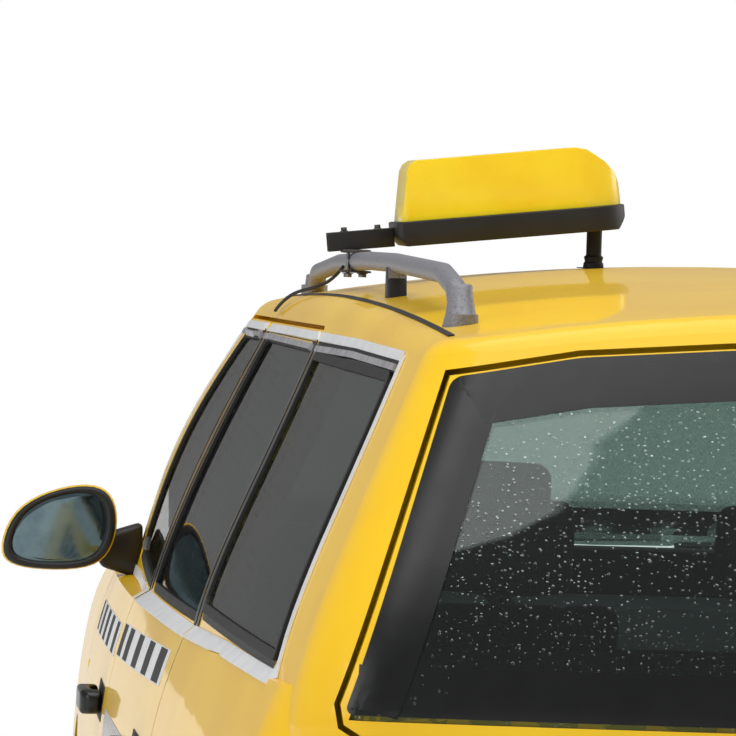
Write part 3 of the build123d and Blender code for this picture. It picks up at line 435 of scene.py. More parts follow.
soft_panel("sky_panel", (0, 1.5, 7.0), (0, 0.5, 1.0), 7.0, 330)
soft_panel("left_panel", (7.0, 5.0, 3.5), (0.5, 0.5, 1.0), 4.0, 150)
soft_panel("right_panel", (-6.5, -4.0, 4.0), (0, 0, 0.8), 4.0, 110)

# %% [markdown]
# Every piece below is made in the same few moves: add a primitive where the piece goes, shape it in edit mode,
# let modifiers finish it, then put its place into its mesh so that the object sits at the origin, and let it
# ride on the body that carries it. These helpers hold the moves that come back each time.


# %% Modelling helpers
def deselect():
    if bpy.context.object and bpy.context.object.mode != "OBJECT":
        bpy.ops.object.mode_set(mode="OBJECT")
    bpy.ops.object.select_all(action="DESELECT")


def only(obj):
    """Makes obj the one selected and active object."""
    deselect()
    obj.select_set(True)
    bpy.context.view_layer.objects.active = obj


def apply_all(obj):
    only(obj)
    for modifier in list(obj.modifiers):
        bpy.ops.object.modifier_apply(modifier=modifier.name)


def add_modifier(obj, kind, **settings):
    modifier = obj.modifiers.new(kind.lower(), kind)
    for name, value in settings.items():
        setattr(modifier, name, value)
    return modifier


def bevel(obj, width, segments, angle=None):
    """A bevel, on the edges that are sharper than angle where one is given."""
    limit = {"limit_method": "ANGLE", "angle_limit": math.radians(angle)} if angle else {}
    add_modifier(obj, "BEVEL", width=width, segments=segments, **limit)


def edit_all():
    """Opens the active mesh in edit mode with all of it selected."""
    bpy.ops.object.mode_set(mode="EDIT")
    bpy.ops.mesh.select_all(action="SELECT")


def drawn_outline(corners, fill="NGON"):
    """A closed outline: a circle with as many points as there are corners, each moved to its corner."""
    deselect()
    bpy.ops.mesh.primitive_circle_add(vertices=len(corners), radius=1, fill_type=fill)
    obj = bpy.context.object
    for vertex, corner in zip(obj.data.vertices, corners):
        vertex.co = corner
    return obj


def pulled_outline(corners, pull):
    """A solid: an outline pulled along a line."""
    obj = drawn_outline(corners)
    edit_all()
    bpy.ops.mesh.extrude_region_move(TRANSFORM_OT_translate={"value": pull})
    bpy.ops.mesh.select_all(action="SELECT")
    bpy.ops.mesh.normals_make_consistent(inside=False)
    bpy.ops.object.mode_set(mode="OBJECT")
    return obj


def sized_box(place, size):
    """A cube at its place, with its size put into its mesh."""
    deselect()
    bpy.ops.mesh.primitive_cube_add(size=1, location=place)
    obj = bpy.context.object
    obj.scale = size
    bpy.ops.object.transform_apply(location=True, scale=True)
    return obj


def cylinder(sides, radius, depth, place, turn=(0, 0, 0)):
    """A cylinder whose place and turn are put into its mesh."""
    deselect()
    bpy.ops.mesh.primitive_cylinder_add(vertices=sides, radius=radius, depth=depth, location=place, rotation=turn)
    bpy.ops.object.transform_apply(location=True, rotation=True)
    return bpy.context.object


def joined_pieces(pieces):
    """Several meshes as one."""
    deselect()
    for piece in pieces:
        piece.select_set(True)
    bpy.context.view_layer.objects.active = pieces[0]
    bpy.ops.object.join()
    return bpy.context.object


def slice_across(axis, levels):
    """Cuts the active mesh square to an axis at each level, which gives it the rings it is shaped by."""
    bpy.ops.object.mode_set(mode="EDIT")
    for level in levels:
        point, normal = [0, 0, 0], [0, 0, 0]
        point[axis], normal[axis] = level, 1
        bpy.ops.mesh.select_all(action="SELECT")
        bpy.ops.mesh.bisect(plane_co=point, plane_no=normal)
    bpy.ops.object.mode_set(mode="OBJECT")


def finish_piece(obj, name, finish, body, smooth=35, replaces=()):
    """Applies what is pending, names, smooths, dresses the piece and lets it ride on its body."""
    apply_all(obj)
    bpy.ops.object.transform_apply(location=True, rotation=True, scale=True)
    obj.name = name
    obj.data.name = name
    obj.data.materials.clear()
    obj.data.materials.append(finish)
    bpy.ops.object.shade_smooth_by_angle(angle=math.radians(smooth))
    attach(obj, body)
    if replaces:
        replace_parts(obj, *replaces)
    return obj


def placed_copy(obj, name, body, replaces=(), turned=True, along=0.0):
    """A copy of a finished piece, moved along the car and, when turned, mirrored to the car's right."""
    only(obj)
    bpy.ops.object.duplicate()
    copy = bpy.context.object
    copy.parent = None
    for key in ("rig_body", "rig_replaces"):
        if key in copy:
            del copy[key]
    copy.data.transform(Matrix.Translation((0, along, 0)))
    if turned:
        copy.data.transform(Matrix.Scale(-1, 4, (1, 0, 0)))
        copy.data.flip_normals()
    copy.matrix_world = Matrix.Identity(4)
    copy.name = name
    copy.data.name = name
    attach(copy, body)
    if replaces:
        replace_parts(copy, *replaces)
    return copy


def both_sides(obj, stem, finish, body, smooth=35, replaces=()):
    """Finishes a left piece and makes its right twin; in body and replaces, {} stands for the side."""
    left = finish_piece(obj, f"{stem}_left", finish, body.format("left"), smooth,
                        [node.format("left") for node in replaces])
    placed_copy(left, f"{stem}_right", body.format("right"), [node.format("right") for node in replaces])


# %% [markdown]
# Trim strips, seals and stickers lie on curved panels. Each starts as a flat sheet in the piece's outline, is
# cut into small facets, and a Shrinkwrap modifier presses it sideways on to a joined copy of the panels. What
# finds no panel is deleted. Solidify then gives the sheet its real thickness. The copy goes at the end.


# %% Plates that lie on the body
def joined_copy(name, nodes):
    """One mesh made from copies of CAD nodes, to press plates on to."""
    deselect()
    for node in nodes:
        source = frame["nodes"][node]
        copy = source.copy()
        copy.data = source.data.copy()
        copy.parent = None
        copy.matrix_world = source.matrix_world
        for key in list(copy.keys()):
            del copy[key]
        bpy.context.collection.objects.link(copy)
        copy.select_set(True)
        bpy.context.view_layer.objects.active = copy
    bpy.ops.object.join()
    made = bpy.context.object
    made.name = name
    made.hide_render = True
    return made


SKIN_NODES = ["front_wing_left", "front_door_left", "rear_door_left", "side_frame_left", "rear_bumper",
              "front_bumper", "front_door_glass_left", "rear_door_glass_left", "quarter_glass_left", "tailgate",
              "tailgate_glass", "roof_panel", "bonnet", "scuttle", "grille", "headlamp_left", "tail_lamp_left",
              "windscreen"]
body_skin = joined_copy("body_skin", SKIN_NODES)
# Where a sheet starts, then the axis it is pressed along and the two axes of its outline.
VIEWS = {"side": (1.2, (0, 1, 2)), "rear": (2.6, (1, 0, 2)), "front": (-2.6, (1, 0, 2)), "top": (1.8, (2, 0, 1))}
MISSED = 0.05


def laid_outline(corners, seen_from):
    """An outline drawn beside, behind, before or above the car."""
    start, order = VIEWS[seen_from]
    points = [[0, 0, 0] for _ in corners]
    for point, corner in zip(points, corners):
        for axis, value in zip(order, (start, *corner)):
            point[axis] = value
    return drawn_outline(points)


def press_on(obj, seen_from, thick, lift, target):
    """Presses a sheet on to the panels, drops what missed them, turns it outwards and thickens it."""
    start, (axis, *_) = VIEWS[seen_from]
    wrap = add_modifier(obj, "SHRINKWRAP", target=target, wrap_method="PROJECT", offset=lift,
                        wrap_mode="ABOVE_SURFACE", use_negative_direction=start > 0,
                        use_positive_direction=start < 0)
    setattr(wrap, "use_project_" + "xyz"[axis], True)
    apply_all(obj)
    for v in obj.data.vertices:
        v.select = abs(v.co[axis] - start) < MISSED
    for part in (*obj.data.edges, *obj.data.polygons):
        part.select = all(obj.data.vertices[i].select for i in part.vertices)
    bpy.ops.object.mode_set(mode="EDIT")
    bpy.ops.mesh.select_mode(type="VERT")
    bpy.ops.mesh.delete(type="VERT")
    bpy.ops.object.mode_set(mode="OBJECT")
    if sum(p.normal[axis] * p.area for p in obj.data.polygons) * start < 0:
        obj.data.flip_normals()
    add_modifier(obj, "SOLIDIFY", thickness=thick, offset=1.0)
    apply_all(obj)
    return obj


def plate(corners, seen_from, grid, thick, lift, target=None):
    """A thin plate in the outline of corners, pressed on to the body."""
    obj = laid_outline(corners, seen_from)
    spans = [(axis, [v.co[axis] for v in obj.data.vertices]) for axis in VIEWS[seen_from][1][1:]]
    for axis, values in spans:
        low, high = min(values), max(values)
        count = math.ceil((high - low) / grid)
        slice_across(axis, [low + step * (high - low) / count for step in range(1, count)])
    edit_all()
    bpy.ops.mesh.quads_convert_to_tris()
    bpy.ops.object.mode_set(mode="OBJECT")
    return press_on(obj, seen_from, thick, lift, target or body_skin)


def ribbon(line, width):
    """Corners of a strip that follows a line of points with one width, measured square to the line."""
    left, right = [], []
    for i, point in enumerate(line):
        before = Vector(line[max(i - 1, 0)])
        after = Vector(line[min(i + 1, len(line) - 1)])
        along = (after - before).normalized()
        square = Vector((-along.y, along.x)) * width / 2
        left.append(tuple(Vector(point) + square))
        right.append(tuple(Vector(point) - square))
    return left + right[::-1]


print("plates press on to", len(body_skin.data.polygons), "facets")

# %% [markdown]
# Around the side windows runs the trim that makes an estate car's side. A bright anodised strip lies along the
# foot of the glass, up the last pillar and over the windows. Below the upper one follow a dark line, which is a
# painted shadow, and a grey strip, which is painted shade on the trim's lower face. The pillars are black film. Each
# door carries its own lengths, so they part at its edge.


# %% Strips round the side windows
FRONT, REAR, FIXED = "front_door_{}", "rear_door_{}", "car"
STRIP_GRID, STRIP_LIFT = 0.03, 0.0004
# The dark seal-rubber sheet is a painted shadow: the shadow line under the upper bright strip.
BRIGHT, PAINTED_SHADOW = (bright_strip, 0.0022), (seal_rubber, 0.0012)
# The grey strip finish is painted shade on the bright trim's lower face.
PAINTED_SHADE, FILM = (shade_strip_metal, 0.0056), (gloss_black, 0.0012)
# Name, body, width, finish and thickness, and the line it follows as (along, up).
STRIPS = (
    ("belt_strip_front", FRONT, 0.015, BRIGHT, [(-0.93, 0.958), (-0.50, 0.968), (-0.078, 0.966)]),
    ("belt_strip_rear", REAR, 0.015, BRIGHT, [(-0.052, 0.966), (0.45, 0.974), (0.972, 0.981)]),
    ("belt_strip_quarter", FIXED, 0.015, BRIGHT, [(0.994, 0.982), (1.45, 0.992), (1.985, 0.995)]),
    ("quarter_strip", FIXED, 0.019, BRIGHT, [(1.988, 0.992), (1.900, 1.190), (1.817, 1.376)]),
    ("head_strip_front", FRONT, 0.011, BRIGHT,
     [(-0.925, 0.975), (-0.60, 1.170), (-0.282, 1.371), (0.078, 1.374)]),
    ("head_strip_rear", REAR, 0.011, BRIGHT, [(0.098, 1.374), (0.48, 1.377), (0.862, 1.379)]),
    ("head_strip_quarter", FIXED, 0.012, BRIGHT, [(0.884, 1.379), (1.35, 1.381), (1.806, 1.378)]),
    # The shadow strips are a painted shadow line, and the grey strips after them are painted shade.
    ("shadow_strip_front", FRONT, 0.0045, PAINTED_SHADOW, [(-0.275, 1.3665), (0.066, 1.3670)]),
    ("shadow_strip_rear", REAR, 0.0045, PAINTED_SHADOW, [(0.110, 1.3670), (0.856, 1.3700)]),
    ("shadow_strip_quarter", FIXED, 0.0045, PAINTED_SHADOW, [(0.890, 1.3700), (1.350, 1.3730), (1.808, 1.3700)]),
    ("run_strip_front", FRONT, 0.008, PAINTED_SHADE, [(-0.270, 1.3600), (0.060, 1.3605)]),
    ("run_strip_rear", REAR, 0.008, PAINTED_SHADE, [(0.124, 1.3605), (0.848, 1.3625)]),
    ("run_strip_quarter", FIXED, 0.008, PAINTED_SHADE, [(0.916, 1.3625), (1.350, 1.3660), (1.806, 1.3630)]),
    ("pillar_film_front", FRONT, 0.030, FILM, [(-0.092, 0.978), (-0.02, 1.170), (0.064, 1.366)]),
    ("pillar_film_rear", REAR, 0.028, FILM, [(-0.030, 0.982), (0.040, 1.170), (0.116, 1.366)]),
    ("pillar_film_rear_edge", REAR, 0.026, FILM, [(0.962, 0.990), (0.910, 1.180), (0.850, 1.370)]),
    ("pillar_film_quarter", FIXED, 0.026, FILM, [(1.006, 0.990), (0.952, 1.180), (0.894, 1.372)]),
)
for stem, body, width, (finish, thick), line in STRIPS:
    strip = plate(ribbon(line, width), "side", STRIP_GRID, thick, STRIP_LIFT)
    both_sides(strip, stem, finish, body, smooth=40)
print("side strips:", 2 * len(STRIPS))

# %% [markdown]
# A checker band runs along the doors' shoulders: black bars printed on a strip of white film.
# Each door has its own length of film. The film and the bars are thin plates with procedural plastics, and the
# bars come from a short table of where each begins and ends along the top edge.

# %% Checker band and speckled film
white_film = moulded("white_vinyl_film", "#D9DADB", 6.0, 0.3, 0.05, second="#E2E3E3")
black_print = moulded("black_printed_bars", "#08080A", 5.0, 0.55, 0.05, second="#0C0C0E")
FILM_LIFT = 0.0002
BAND_HEIGHT, BEND_Y = 0.049, -0.06
REAR_EDGE, FRONT_EDGE = (0.927, 0.0265), (0.9205, 0.015)


def band_edge(y):
    """Heights of the band's lower and upper edge at a place along the car; each door's edge is a straight line."""
    height, slope = REAR_EDGE if y > BEND_Y else FRONT_EDGE
    upper = height + slope * y
    return upper - BAND_HEIGHT, upper


def band_piece(stem, start, end, finish, body, thick, inset=0.0):
    """A length of the band between two places along the car, inset from the band's edges."""
    corners = [(start, band_edge(start)[0] + inset), (end, band_edge(end)[0] + inset),
               (end, band_edge(end)[1] - inset), (start, band_edge(start)[1] - inset)]
    both_sides(plate(corners, "side", 0.03, thick, FILM_LIFT), stem, finish, body, 40)


BANDS = {"rear_door": (-0.030, 0.905), "front_door": (-0.905, -0.110)}
BARS = {
    "rear_door": [(-0.026, 0.055), (0.130, 0.222), (0.345, 0.440), (0.562, 0.652), (0.762, 0.866)],
    "front_door": [(-0.235, -0.165), (-0.430, -0.350), (-0.600, -0.520), (-0.765, -0.690), (-0.895, -0.850)],
}
for stem, (start, end) in BANDS.items():
    band_piece(f"{stem}_band", start, end, white_film, stem + "_{}", 0.0005)
    for i, (bar_start, bar_end) in enumerate(BARS[stem]):
        band_piece(f"{stem}_bar_{i}", bar_start, bar_end, black_print, stem + "_{}", 0.0009, 0.0015)
speckled_film, shader = new_finish("speckled_grey_film", Roughness=0.35)
dots = add_node(speckled_film, "TexVoronoi", {"feature": "F1"},
                {"Vector": OBJECT, "Scale": 240.0, "Randomness": 0.5})
use_pattern(speckled_film, shader, dots.outputs["Distance"], ((0.30, "#4B4A4E"), (0.42, "#B9B7B4")))
STICKER = [(-0.045, 0.640), (0.520, 0.640), (0.520, 0.797), (-0.045, 0.797)]
sticker = plate(STICKER, "side", 0.03, 0.0004, FILM_LIFT)
both_sides(sticker, "speckled_film", speckled_film, REAR, 40)
print("bars on each side:", sum(len(bars) for bars in BARS.values()))

# %% [markdown]
# Each side pane sits in a black rubber seal, 12 mm wide and 4.5 mm high. A seal is made as a sheet in the
# window's outline, set in with inset, and the middle face is deleted, which leaves a ring.


# %% Window seals
SEAL_WIDTH, SEAL_THICK, RING_LIFT = 0.012, 0.0045, 0.0003


def ring_plate(corners, width, seen_from, thick, nodes, rounding):
    """A ring of one width inside the outline, pressed on to the CAD nodes it lies on."""
    target = joined_copy("pane", nodes)
    obj = laid_outline(corners, seen_from)
    edit_all()
    bpy.ops.mesh.bevel(offset=rounding, segments=5, affect="VERTICES")
    bpy.ops.mesh.select_all(action="SELECT")
    bpy.ops.mesh.inset(thickness=width, depth=0)
    bpy.ops.mesh.delete(type="FACE")
    bpy.ops.mesh.select_all(action="SELECT")
    bpy.ops.mesh.subdivide(number_cuts=3)
    bpy.ops.mesh.subdivide(number_cuts=2)
    bpy.ops.mesh.quads_convert_to_tris()
    bpy.ops.object.mode_set(mode="OBJECT")
    press_on(obj, seen_from, thick, RING_LIFT, target)
    bpy.data.objects.remove(target)
    return obj


WINDOWS = {
    "front_door_glass": ([(-0.850, 0.985), (-0.268, 1.362), (0.052, 1.366), (-0.096, 0.972)], FRONT),
    "rear_door_glass": ([(-0.018, 0.976), (0.130, 1.366), (0.838, 1.368), (0.948, 0.992)], REAR),
    "quarter_glass": ([(1.040, 1.012), (0.932, 1.360), (1.798, 1.358), (1.950, 1.012)], FIXED),
}
for stem, (corners, body) in WINDOWS.items():
    seal = ring_plate(corners, SEAL_WIDTH, "side", SEAL_THICK, [stem + "_left"], 0.02)
    both_sides(seal, stem + "_seal", seal_rubber, body)
print("window seals:", 2 * len(WINDOWS))

# %% [markdown]
# The rear window and the windscreen are bonded in, and a black enamel border hides the glue. It is 58 mm wide
# on the rear window, where it also covers the edge of the tailgate beside the glass, and 45 mm on the
# windscreen. It is a thin film, so it is a ring of almost no thickness.

# %% Enamel borders on the bonded glass
ENAMEL_THICK = 0.0006
REAR_WINDOW = [(-0.702, 0.974), (0.702, 0.974), (0.570, 1.361), (0.420, 1.389), (0.240, 1.403), (0.0, 1.408),
               (-0.240, 1.403), (-0.420, 1.389), (-0.570, 1.361)]
WINDSCREEN = [(-0.680, 1.022), (0.680, 1.022), (0.560, 1.370), (0.300, 1.388), (0.0, 1.396), (-0.300, 1.388),
              (-0.560, 1.370)]
border = ring_plate(REAR_WINDOW, 0.058, "rear", ENAMEL_THICK, ["tailgate_glass", "tailgate"], 0.012)
finish_piece(border, "rear_window_border", gloss_black, "tailgate")
border = ring_plate(WINDSCREEN, 0.045, "front", ENAMEL_THICK, ["windscreen"], 0.03)
finish_piece(border, "windscreen_border", gloss_black, "car")
print("windscreen border:", [round(d, 3) for d in border.dimensions])

# %% [markdown]
# Along each side of the roof a narrow ditch hides the weld between roof and side. A black rubber strip fills
# it. From the camera it is the thin dark line outside the rail.

# %% Roof ditch strips
roof_copy = joined_copy("pane", ["roof_panel", "side_frame_left"])
DITCH_LINE = [(0.606, -0.12), (0.603, 0.25), (0.595, 0.58), (0.584, 1.10), (0.572, 1.60), (0.563, 1.95)]
DITCH_WIDTH = 0.008
ditch = plate(ribbon(DITCH_LINE, DITCH_WIDTH), "top", 0.04, 0.0015, FILM_LIFT, roof_copy)
bpy.data.objects.remove(roof_copy)
both_sides(ditch, "roof_ditch_strip", seal_rubber, "car")
print("ditch strip facets:", len(ditch.data.polygons))

# %% [markdown]
# The roof rail is a pressed tube, 27 mm thick, whose ends bend down and widen into feet with a rounded
# outline. A foot is a cylinder whose lower ring is scaled up and whose edge is bevelled. It is set over the
# CAD tube's end, so the tube runs into it. The middle stands on a dark wedge of plastic.

# %% Roof rail feet
FOOT_FLARE = 2.2


def shaped_foot(place, reach, top_radius, foot_size, lean):
    """A foot that widens downwards: place is the middle of its sole, lean moves the top along the car."""
    obj = cylinder(32, 1.0, 1.0, (0, 0, 0.5))
    slice_across(2, (0.15, 0.35, 0.6, 0.85))
    for v in obj.data.vertices:
        flare = (1 - v.co.z) ** FOOT_FLARE
        v.co.x *= top_radius + (foot_size[0] - top_radius) * flare
        v.co.y = v.co.y * (top_radius + (foot_size[1] - top_radius) * flare) + lean * v.co.z
        v.co.z *= reach
    obj.location = place
    bevel(obj, 0.003, 3, 50)
    return obj


FEET = {
    "rail_foot_rear": ((0.536, 1.795, 1.412), 0.056, 0.0150, (0.025, 0.030), -0.030),
    "rail_foot_front": ((0.559, -0.225, 1.417), 0.034, 0.0145, (0.019, 0.022), 0.015),
}
for stem, shape in FEET.items():
    both_sides(shaped_foot(*shape), stem, worn_rail, "car")
WEDGE_Y, WEDGE_FOOT_Z = 1.0, 1.424
wedge = sized_box((0.546, WEDGE_Y, 1.455), (0.026, 0.030, 0.048))
for v in wedge.data.vertices:
    if v.co.z < 1.45:
        v.co.y += 0.018 if v.co.y > WEDGE_Y else -0.002
        v.co.z = WEDGE_FOOT_Z
bevel(wedge, 0.003, 3)
both_sides(wedge, "rail_foot_middle", black_plastic, "car")

# %% [markdown]
# The sign is a thin moulded dome on a black tray. Seen from behind, its left end is upright and its right end
# is a rounded nose that slopes down. The outline is drawn once as a flat shape, pulled out along the car,
# and its nose is rounded in plan with a second, intersected shape. A bevel softens what is left sharp.

# %% Sign dome and tray
SIGN_Y = 0.416
SIGN_LEFT, SIGN_RIGHT = Vector((0.497, SIGN_Y, 1.501)), Vector((0.167, SIGN_Y, 1.538))
along_car = Vector((0, 1, 0))
sign_across = (SIGN_RIGHT - SIGN_LEFT).normalized()
sign_up = sign_across.cross(along_car)
if sign_up.z < 0:
    sign_up = -sign_up
sign_turn = Matrix((sign_across, along_car, sign_up)).transposed().to_4x4()
sign_place = Matrix.Translation(SIGN_LEFT) @ sign_turn
SIGN_TOP = 0.2


def nose_plan(start, end, half, corner, nose):
    """Plan outline with small corners at its start and a big rounded nose at its end."""
    points = []
    for centre, first, radius in (
        ((start + corner, half - corner), 90, corner), ((start + corner, -half + corner), 180, corner),
        ((end - nose, -half + nose), 270, nose), ((end - nose, half - nose), 0, nose),
    ):
        for step in range(9):
            angle = math.radians(first + step * 90 / 8)
            points.append((centre[0] + radius * math.cos(angle), centre[1] + radius * math.sin(angle)))
    return points


def sign_part(profile, plan, low, depth):
    """What a side profile pulled along the car and a plan outline pulled upwards share."""
    first = pulled_outline([(a, -depth / 2, b) for a, b in profile], (0, depth, 0))
    second = pulled_outline([(a, b, low) for a, b in plan], (0, 0, SIGN_TOP - low))
    add_modifier(first, "BOOLEAN", operation="INTERSECT", solver="EXACT", object=second)
    apply_all(first)
    bpy.data.objects.remove(second)
    return first


def soften_sign(obj, width, segments, angle):
    """Rounds the edges of a part of the sign and puts it on the roof."""
    bevel(obj, width, segments, angle)
    apply_all(obj)
    obj.data.transform(sign_place)


DOME = [(0.008, 0.035), (0.021, 0.106), (0.026, 0.115), (0.035, 0.1205), (0.262, 0.1210), (0.278, 0.117),
        (0.304, 0.098), (0.318, 0.082), (0.324, 0.066), (0.3265, 0.035)]
TRAY = [(0.012, 0.0), (0.0, 0.016), (0.0, 0.035), (0.3318, 0.035), (0.3318, 0.018), (0.318, 0.0)]
dome = sign_part(DOME, nose_plan(0.007, 0.327, 0.0685, 0.012, 0.062), 0.0, 0.137)
soften_sign(dome, 0.011, 6, 48)
finish_piece(dome, "sign_dome_shell", sign_yellow, "car", 60, ["sign_dome"])
tray = sign_part(TRAY, nose_plan(0.0, 0.3318, 0.0748, 0.010, 0.066), -0.01, 0.1496)
soften_sign(tray, 0.0022, 3, 30)
finish_piece(tray, "sign_tray", black_plastic, "car", 40, ["sign_base"])
print("sign dome:", [round(d, 3) for d in dome.dimensions])

# %% [markdown]
# A square black bar runs from the tray to the rail and is clamped to it by a saddle, a plate and two studs.
# The bar's end is set in a little. A bolt has a washer and a hexagon head, and one function makes them all.

# %% Bar, clamp and bolts
BAR_SIDE = 0.027
bar = sized_box((-0.0475, 0, 0.014), (0.095, BAR_SIDE, BAR_SIDE))
bpy.ops.object.mode_set(mode="EDIT")
bpy.ops.mesh.select_all(action="DESELECT")
bpy.ops.object.mode_set(mode="OBJECT")
for face in bar.data.polygons:
    face.select = face.normal.x < -0.9
bpy.ops.object.mode_set(mode="EDIT")
bpy.ops.mesh.select_mode(type="FACE")
bpy.ops.mesh.inset(thickness=0.0022, depth=0)
bpy.ops.mesh.extrude_region_move(TRANSFORM_OT_translate={"value": (0.003, 0, 0)})
bpy.ops.object.mode_set(mode="OBJECT")
bevel(bar, 0.0016, 3, 30)
apply_all(bar)
bar.data.transform(sign_place)
finish_piece(bar, "sign_bar", black_plastic, "car")


HEAD_HIGH, WASHER_HIGH = 0.0048, 0.0012


def hex_bolt(name, place, axis, head=0.0065, length=0.018):
    """A bolt with washer and hexagon head: place is under the head, axis points out of the head."""
    hexagon = cylinder(6, head, HEAD_HIGH, (0, 0, WASHER_HIGH + HEAD_HIGH / 2))
    washer = cylinder(24, head * 1.25, WASHER_HIGH, (0, 0, WASHER_HIGH / 2))
    bolt = joined_pieces([hexagon, washer, cylinder(16, head * 0.5, length, (0, 0, -length / 2))])
    bevel(bolt, 0.0005, 2, 30)
    apply_all(bolt)
    turn = Vector(axis).to_track_quat("Z", "Y").to_matrix().to_4x4()
    bolt.data.transform(Matrix.Translation(place) @ turn)
    return finish_piece(bolt, name, zinc_bolt, "car")


def small_block(name, low, high, finish, edge=0.0015):
    """A block between two corners with its edges rounded."""
    obj = sized_box([(a + b) / 2 for a, b in zip(low, high)], [b - a for a, b in zip(low, high)])
    bevel(obj, edge, 3)
    return finish_piece(obj, name, finish, "car", 40)


CLAMP_X, STUD_HALF = 0.552, 0.0025
CLAMP = {"clamp_saddle": (0.020, 0.024, 1.4905, 1.4955), "clamp_plate": (0.021, 0.026, 1.4625, 1.4655)}
for name, (half_x, half_y, low, high) in CLAMP.items():
    small_block(name, (CLAMP_X - half_x, SIGN_Y - half_y, low), (CLAMP_X + half_x, SIGN_Y + half_y, high), cast_iron)
studs = [(CLAMP_X + sign * 0.012, SIGN_Y + sign * 0.018) for sign in (1, -1)]
for end, (x, y) in zip(("rear", "front"), studs):
    hex_bolt(f"clamp_bolt_{end}", (x, y, 1.4620), (0, 0, -1))
for end, (x, y) in zip("ab", studs):
    small_block(f"clamp_stud_{end}", (x - STUD_HALF, y - STUD_HALF, 1.464), (x + STUD_HALF, y + STUD_HALF, 1.494),
                zinc_bolt)
for i, across in enumerate((-0.070, -0.022)):
    hex_bolt(f"bar_bolt_{i}", sign_place @ Vector((across, 0, 0.0275)), sign_up, 0.0045, 0.006)
for i, (across, along) in enumerate(((0.022, 0.062), (0.306, 0.045))):
    hex_bolt(f"tray_screw_{i}", sign_place @ Vector((across, along, 0.012)), (0, 1, 0), 0.0038, 0.006)

# %% [markdown]
# The post under the sign's other end is a ribbed black rubber sleeve with a collar where it meets the roof.
# A cylinder is cut into rings with bisect, and every other ring is scaled out a little.

# %% Sign post
POST_X, POST_TOP = 0.211, 1.536
ROOF_HIGH, ROOF_MIDDLE_Y, ROOF_BEND_Y, ROOF_BEND_X = 1.488, 0.7, 52, 6.4
roof_here = ROOF_HIGH - (SIGN_Y - ROOF_MIDDLE_Y) ** 2 / ROOF_BEND_Y - POST_X**2 / ROOF_BEND_X
POST_RINGS = {0: 1.34, 0.02: 1.36, 0.14: 1.30, 0.18: 1.12, 0.30: 1.28, 0.34: 1.0}
post = cylinder(32, 0.011, 1, (POST_X, SIGN_Y, 0.5))
slice_across(2, (0.02, 0.14, 0.18, 0.30, 0.34, 0.92))
for v in post.data.vertices:
    wide = POST_RINGS.get(round(v.co.z, 2), 1.0)
    v.co.x = POST_X + (v.co.x - POST_X) * wide
    v.co.y = SIGN_Y + (v.co.y - SIGN_Y) * wide
    v.co.z = roof_here - 0.001 + v.co.z * (POST_TOP - roof_here)
bevel(post, 0.0008, 2, 25)
finish_piece(post, "sign_post", seal_rubber, "car", 40, ["sign_bracket"])
pad = cylinder(40, 0.024, 0.0012, (POST_X, SIGN_Y, roof_here + 0.0002))
bevel(pad, 0.0005, 2)
finish_piece(pad, "post_pad", seal_rubber, "car")
print("post height:", round(POST_TOP - roof_here, 3))

# %% [markdown]
# A thin cable runs from the clamp over the roof's edge into the top of the door frame. It is one open NURBS
# spline through the same route as in the CAD model, with a round bevel for its thickness.

# %% Sign cable
CABLE_ROUTE = [(0.567, 0.388, 1.470), (0.578, 0.350, 1.450), (0.600, 0.280, 1.437), (0.622, 0.210, 1.429),
               (0.638, 0.150, 1.411), (0.642, 0.112, 1.400)]
deselect()
bpy.ops.curve.primitive_nurbs_path_add()
cable = bpy.context.object
cable.data.splines.clear()
spline = cable.data.splines.new("NURBS")
spline.points.add(len(CABLE_ROUTE) - 1)
for point, place in zip(spline.points, CABLE_ROUTE):
    point.co = (*place, 1.0)
spline.order_u = 3
spline.use_endpoint_u = True
cable.data.bevel_depth = 0.0025
cable.data.bevel_resolution = 4
cable.data.use_fill_caps = True
cable.data.resolution_u = 16
cable.name = "sign_cable_line"
cable.matrix_world = Matrix.Identity(4)
cable.data.materials.append(seal_rubber)
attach(cable, "car")
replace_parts(cable, "sign_cable")
print("cable route points:", len(CABLE_ROUTE))

# %% [markdown]
# The door mirror has a painted shell, a black rubber rim and a silvered glass set back inside the rim. Its
# outline is a closed line of ten corners that a subdivision rounds. The same outline, made smaller and moved
# forward, gives the rings of the shell, and the glass is a flat face inside the rim.

# %% Door mirrors
MIRROR_RIM = [(1.005, 0.990), (0.986, 1.052), (0.930, 1.084), (0.868, 1.097), (0.832, 1.084), (0.821, 1.040),
              (0.831, 0.990), (0.862, 0.963), (0.940, 0.960), (0.990, 0.967)]
MIRROR_MIDDLE = Vector((0.915, 1.028))


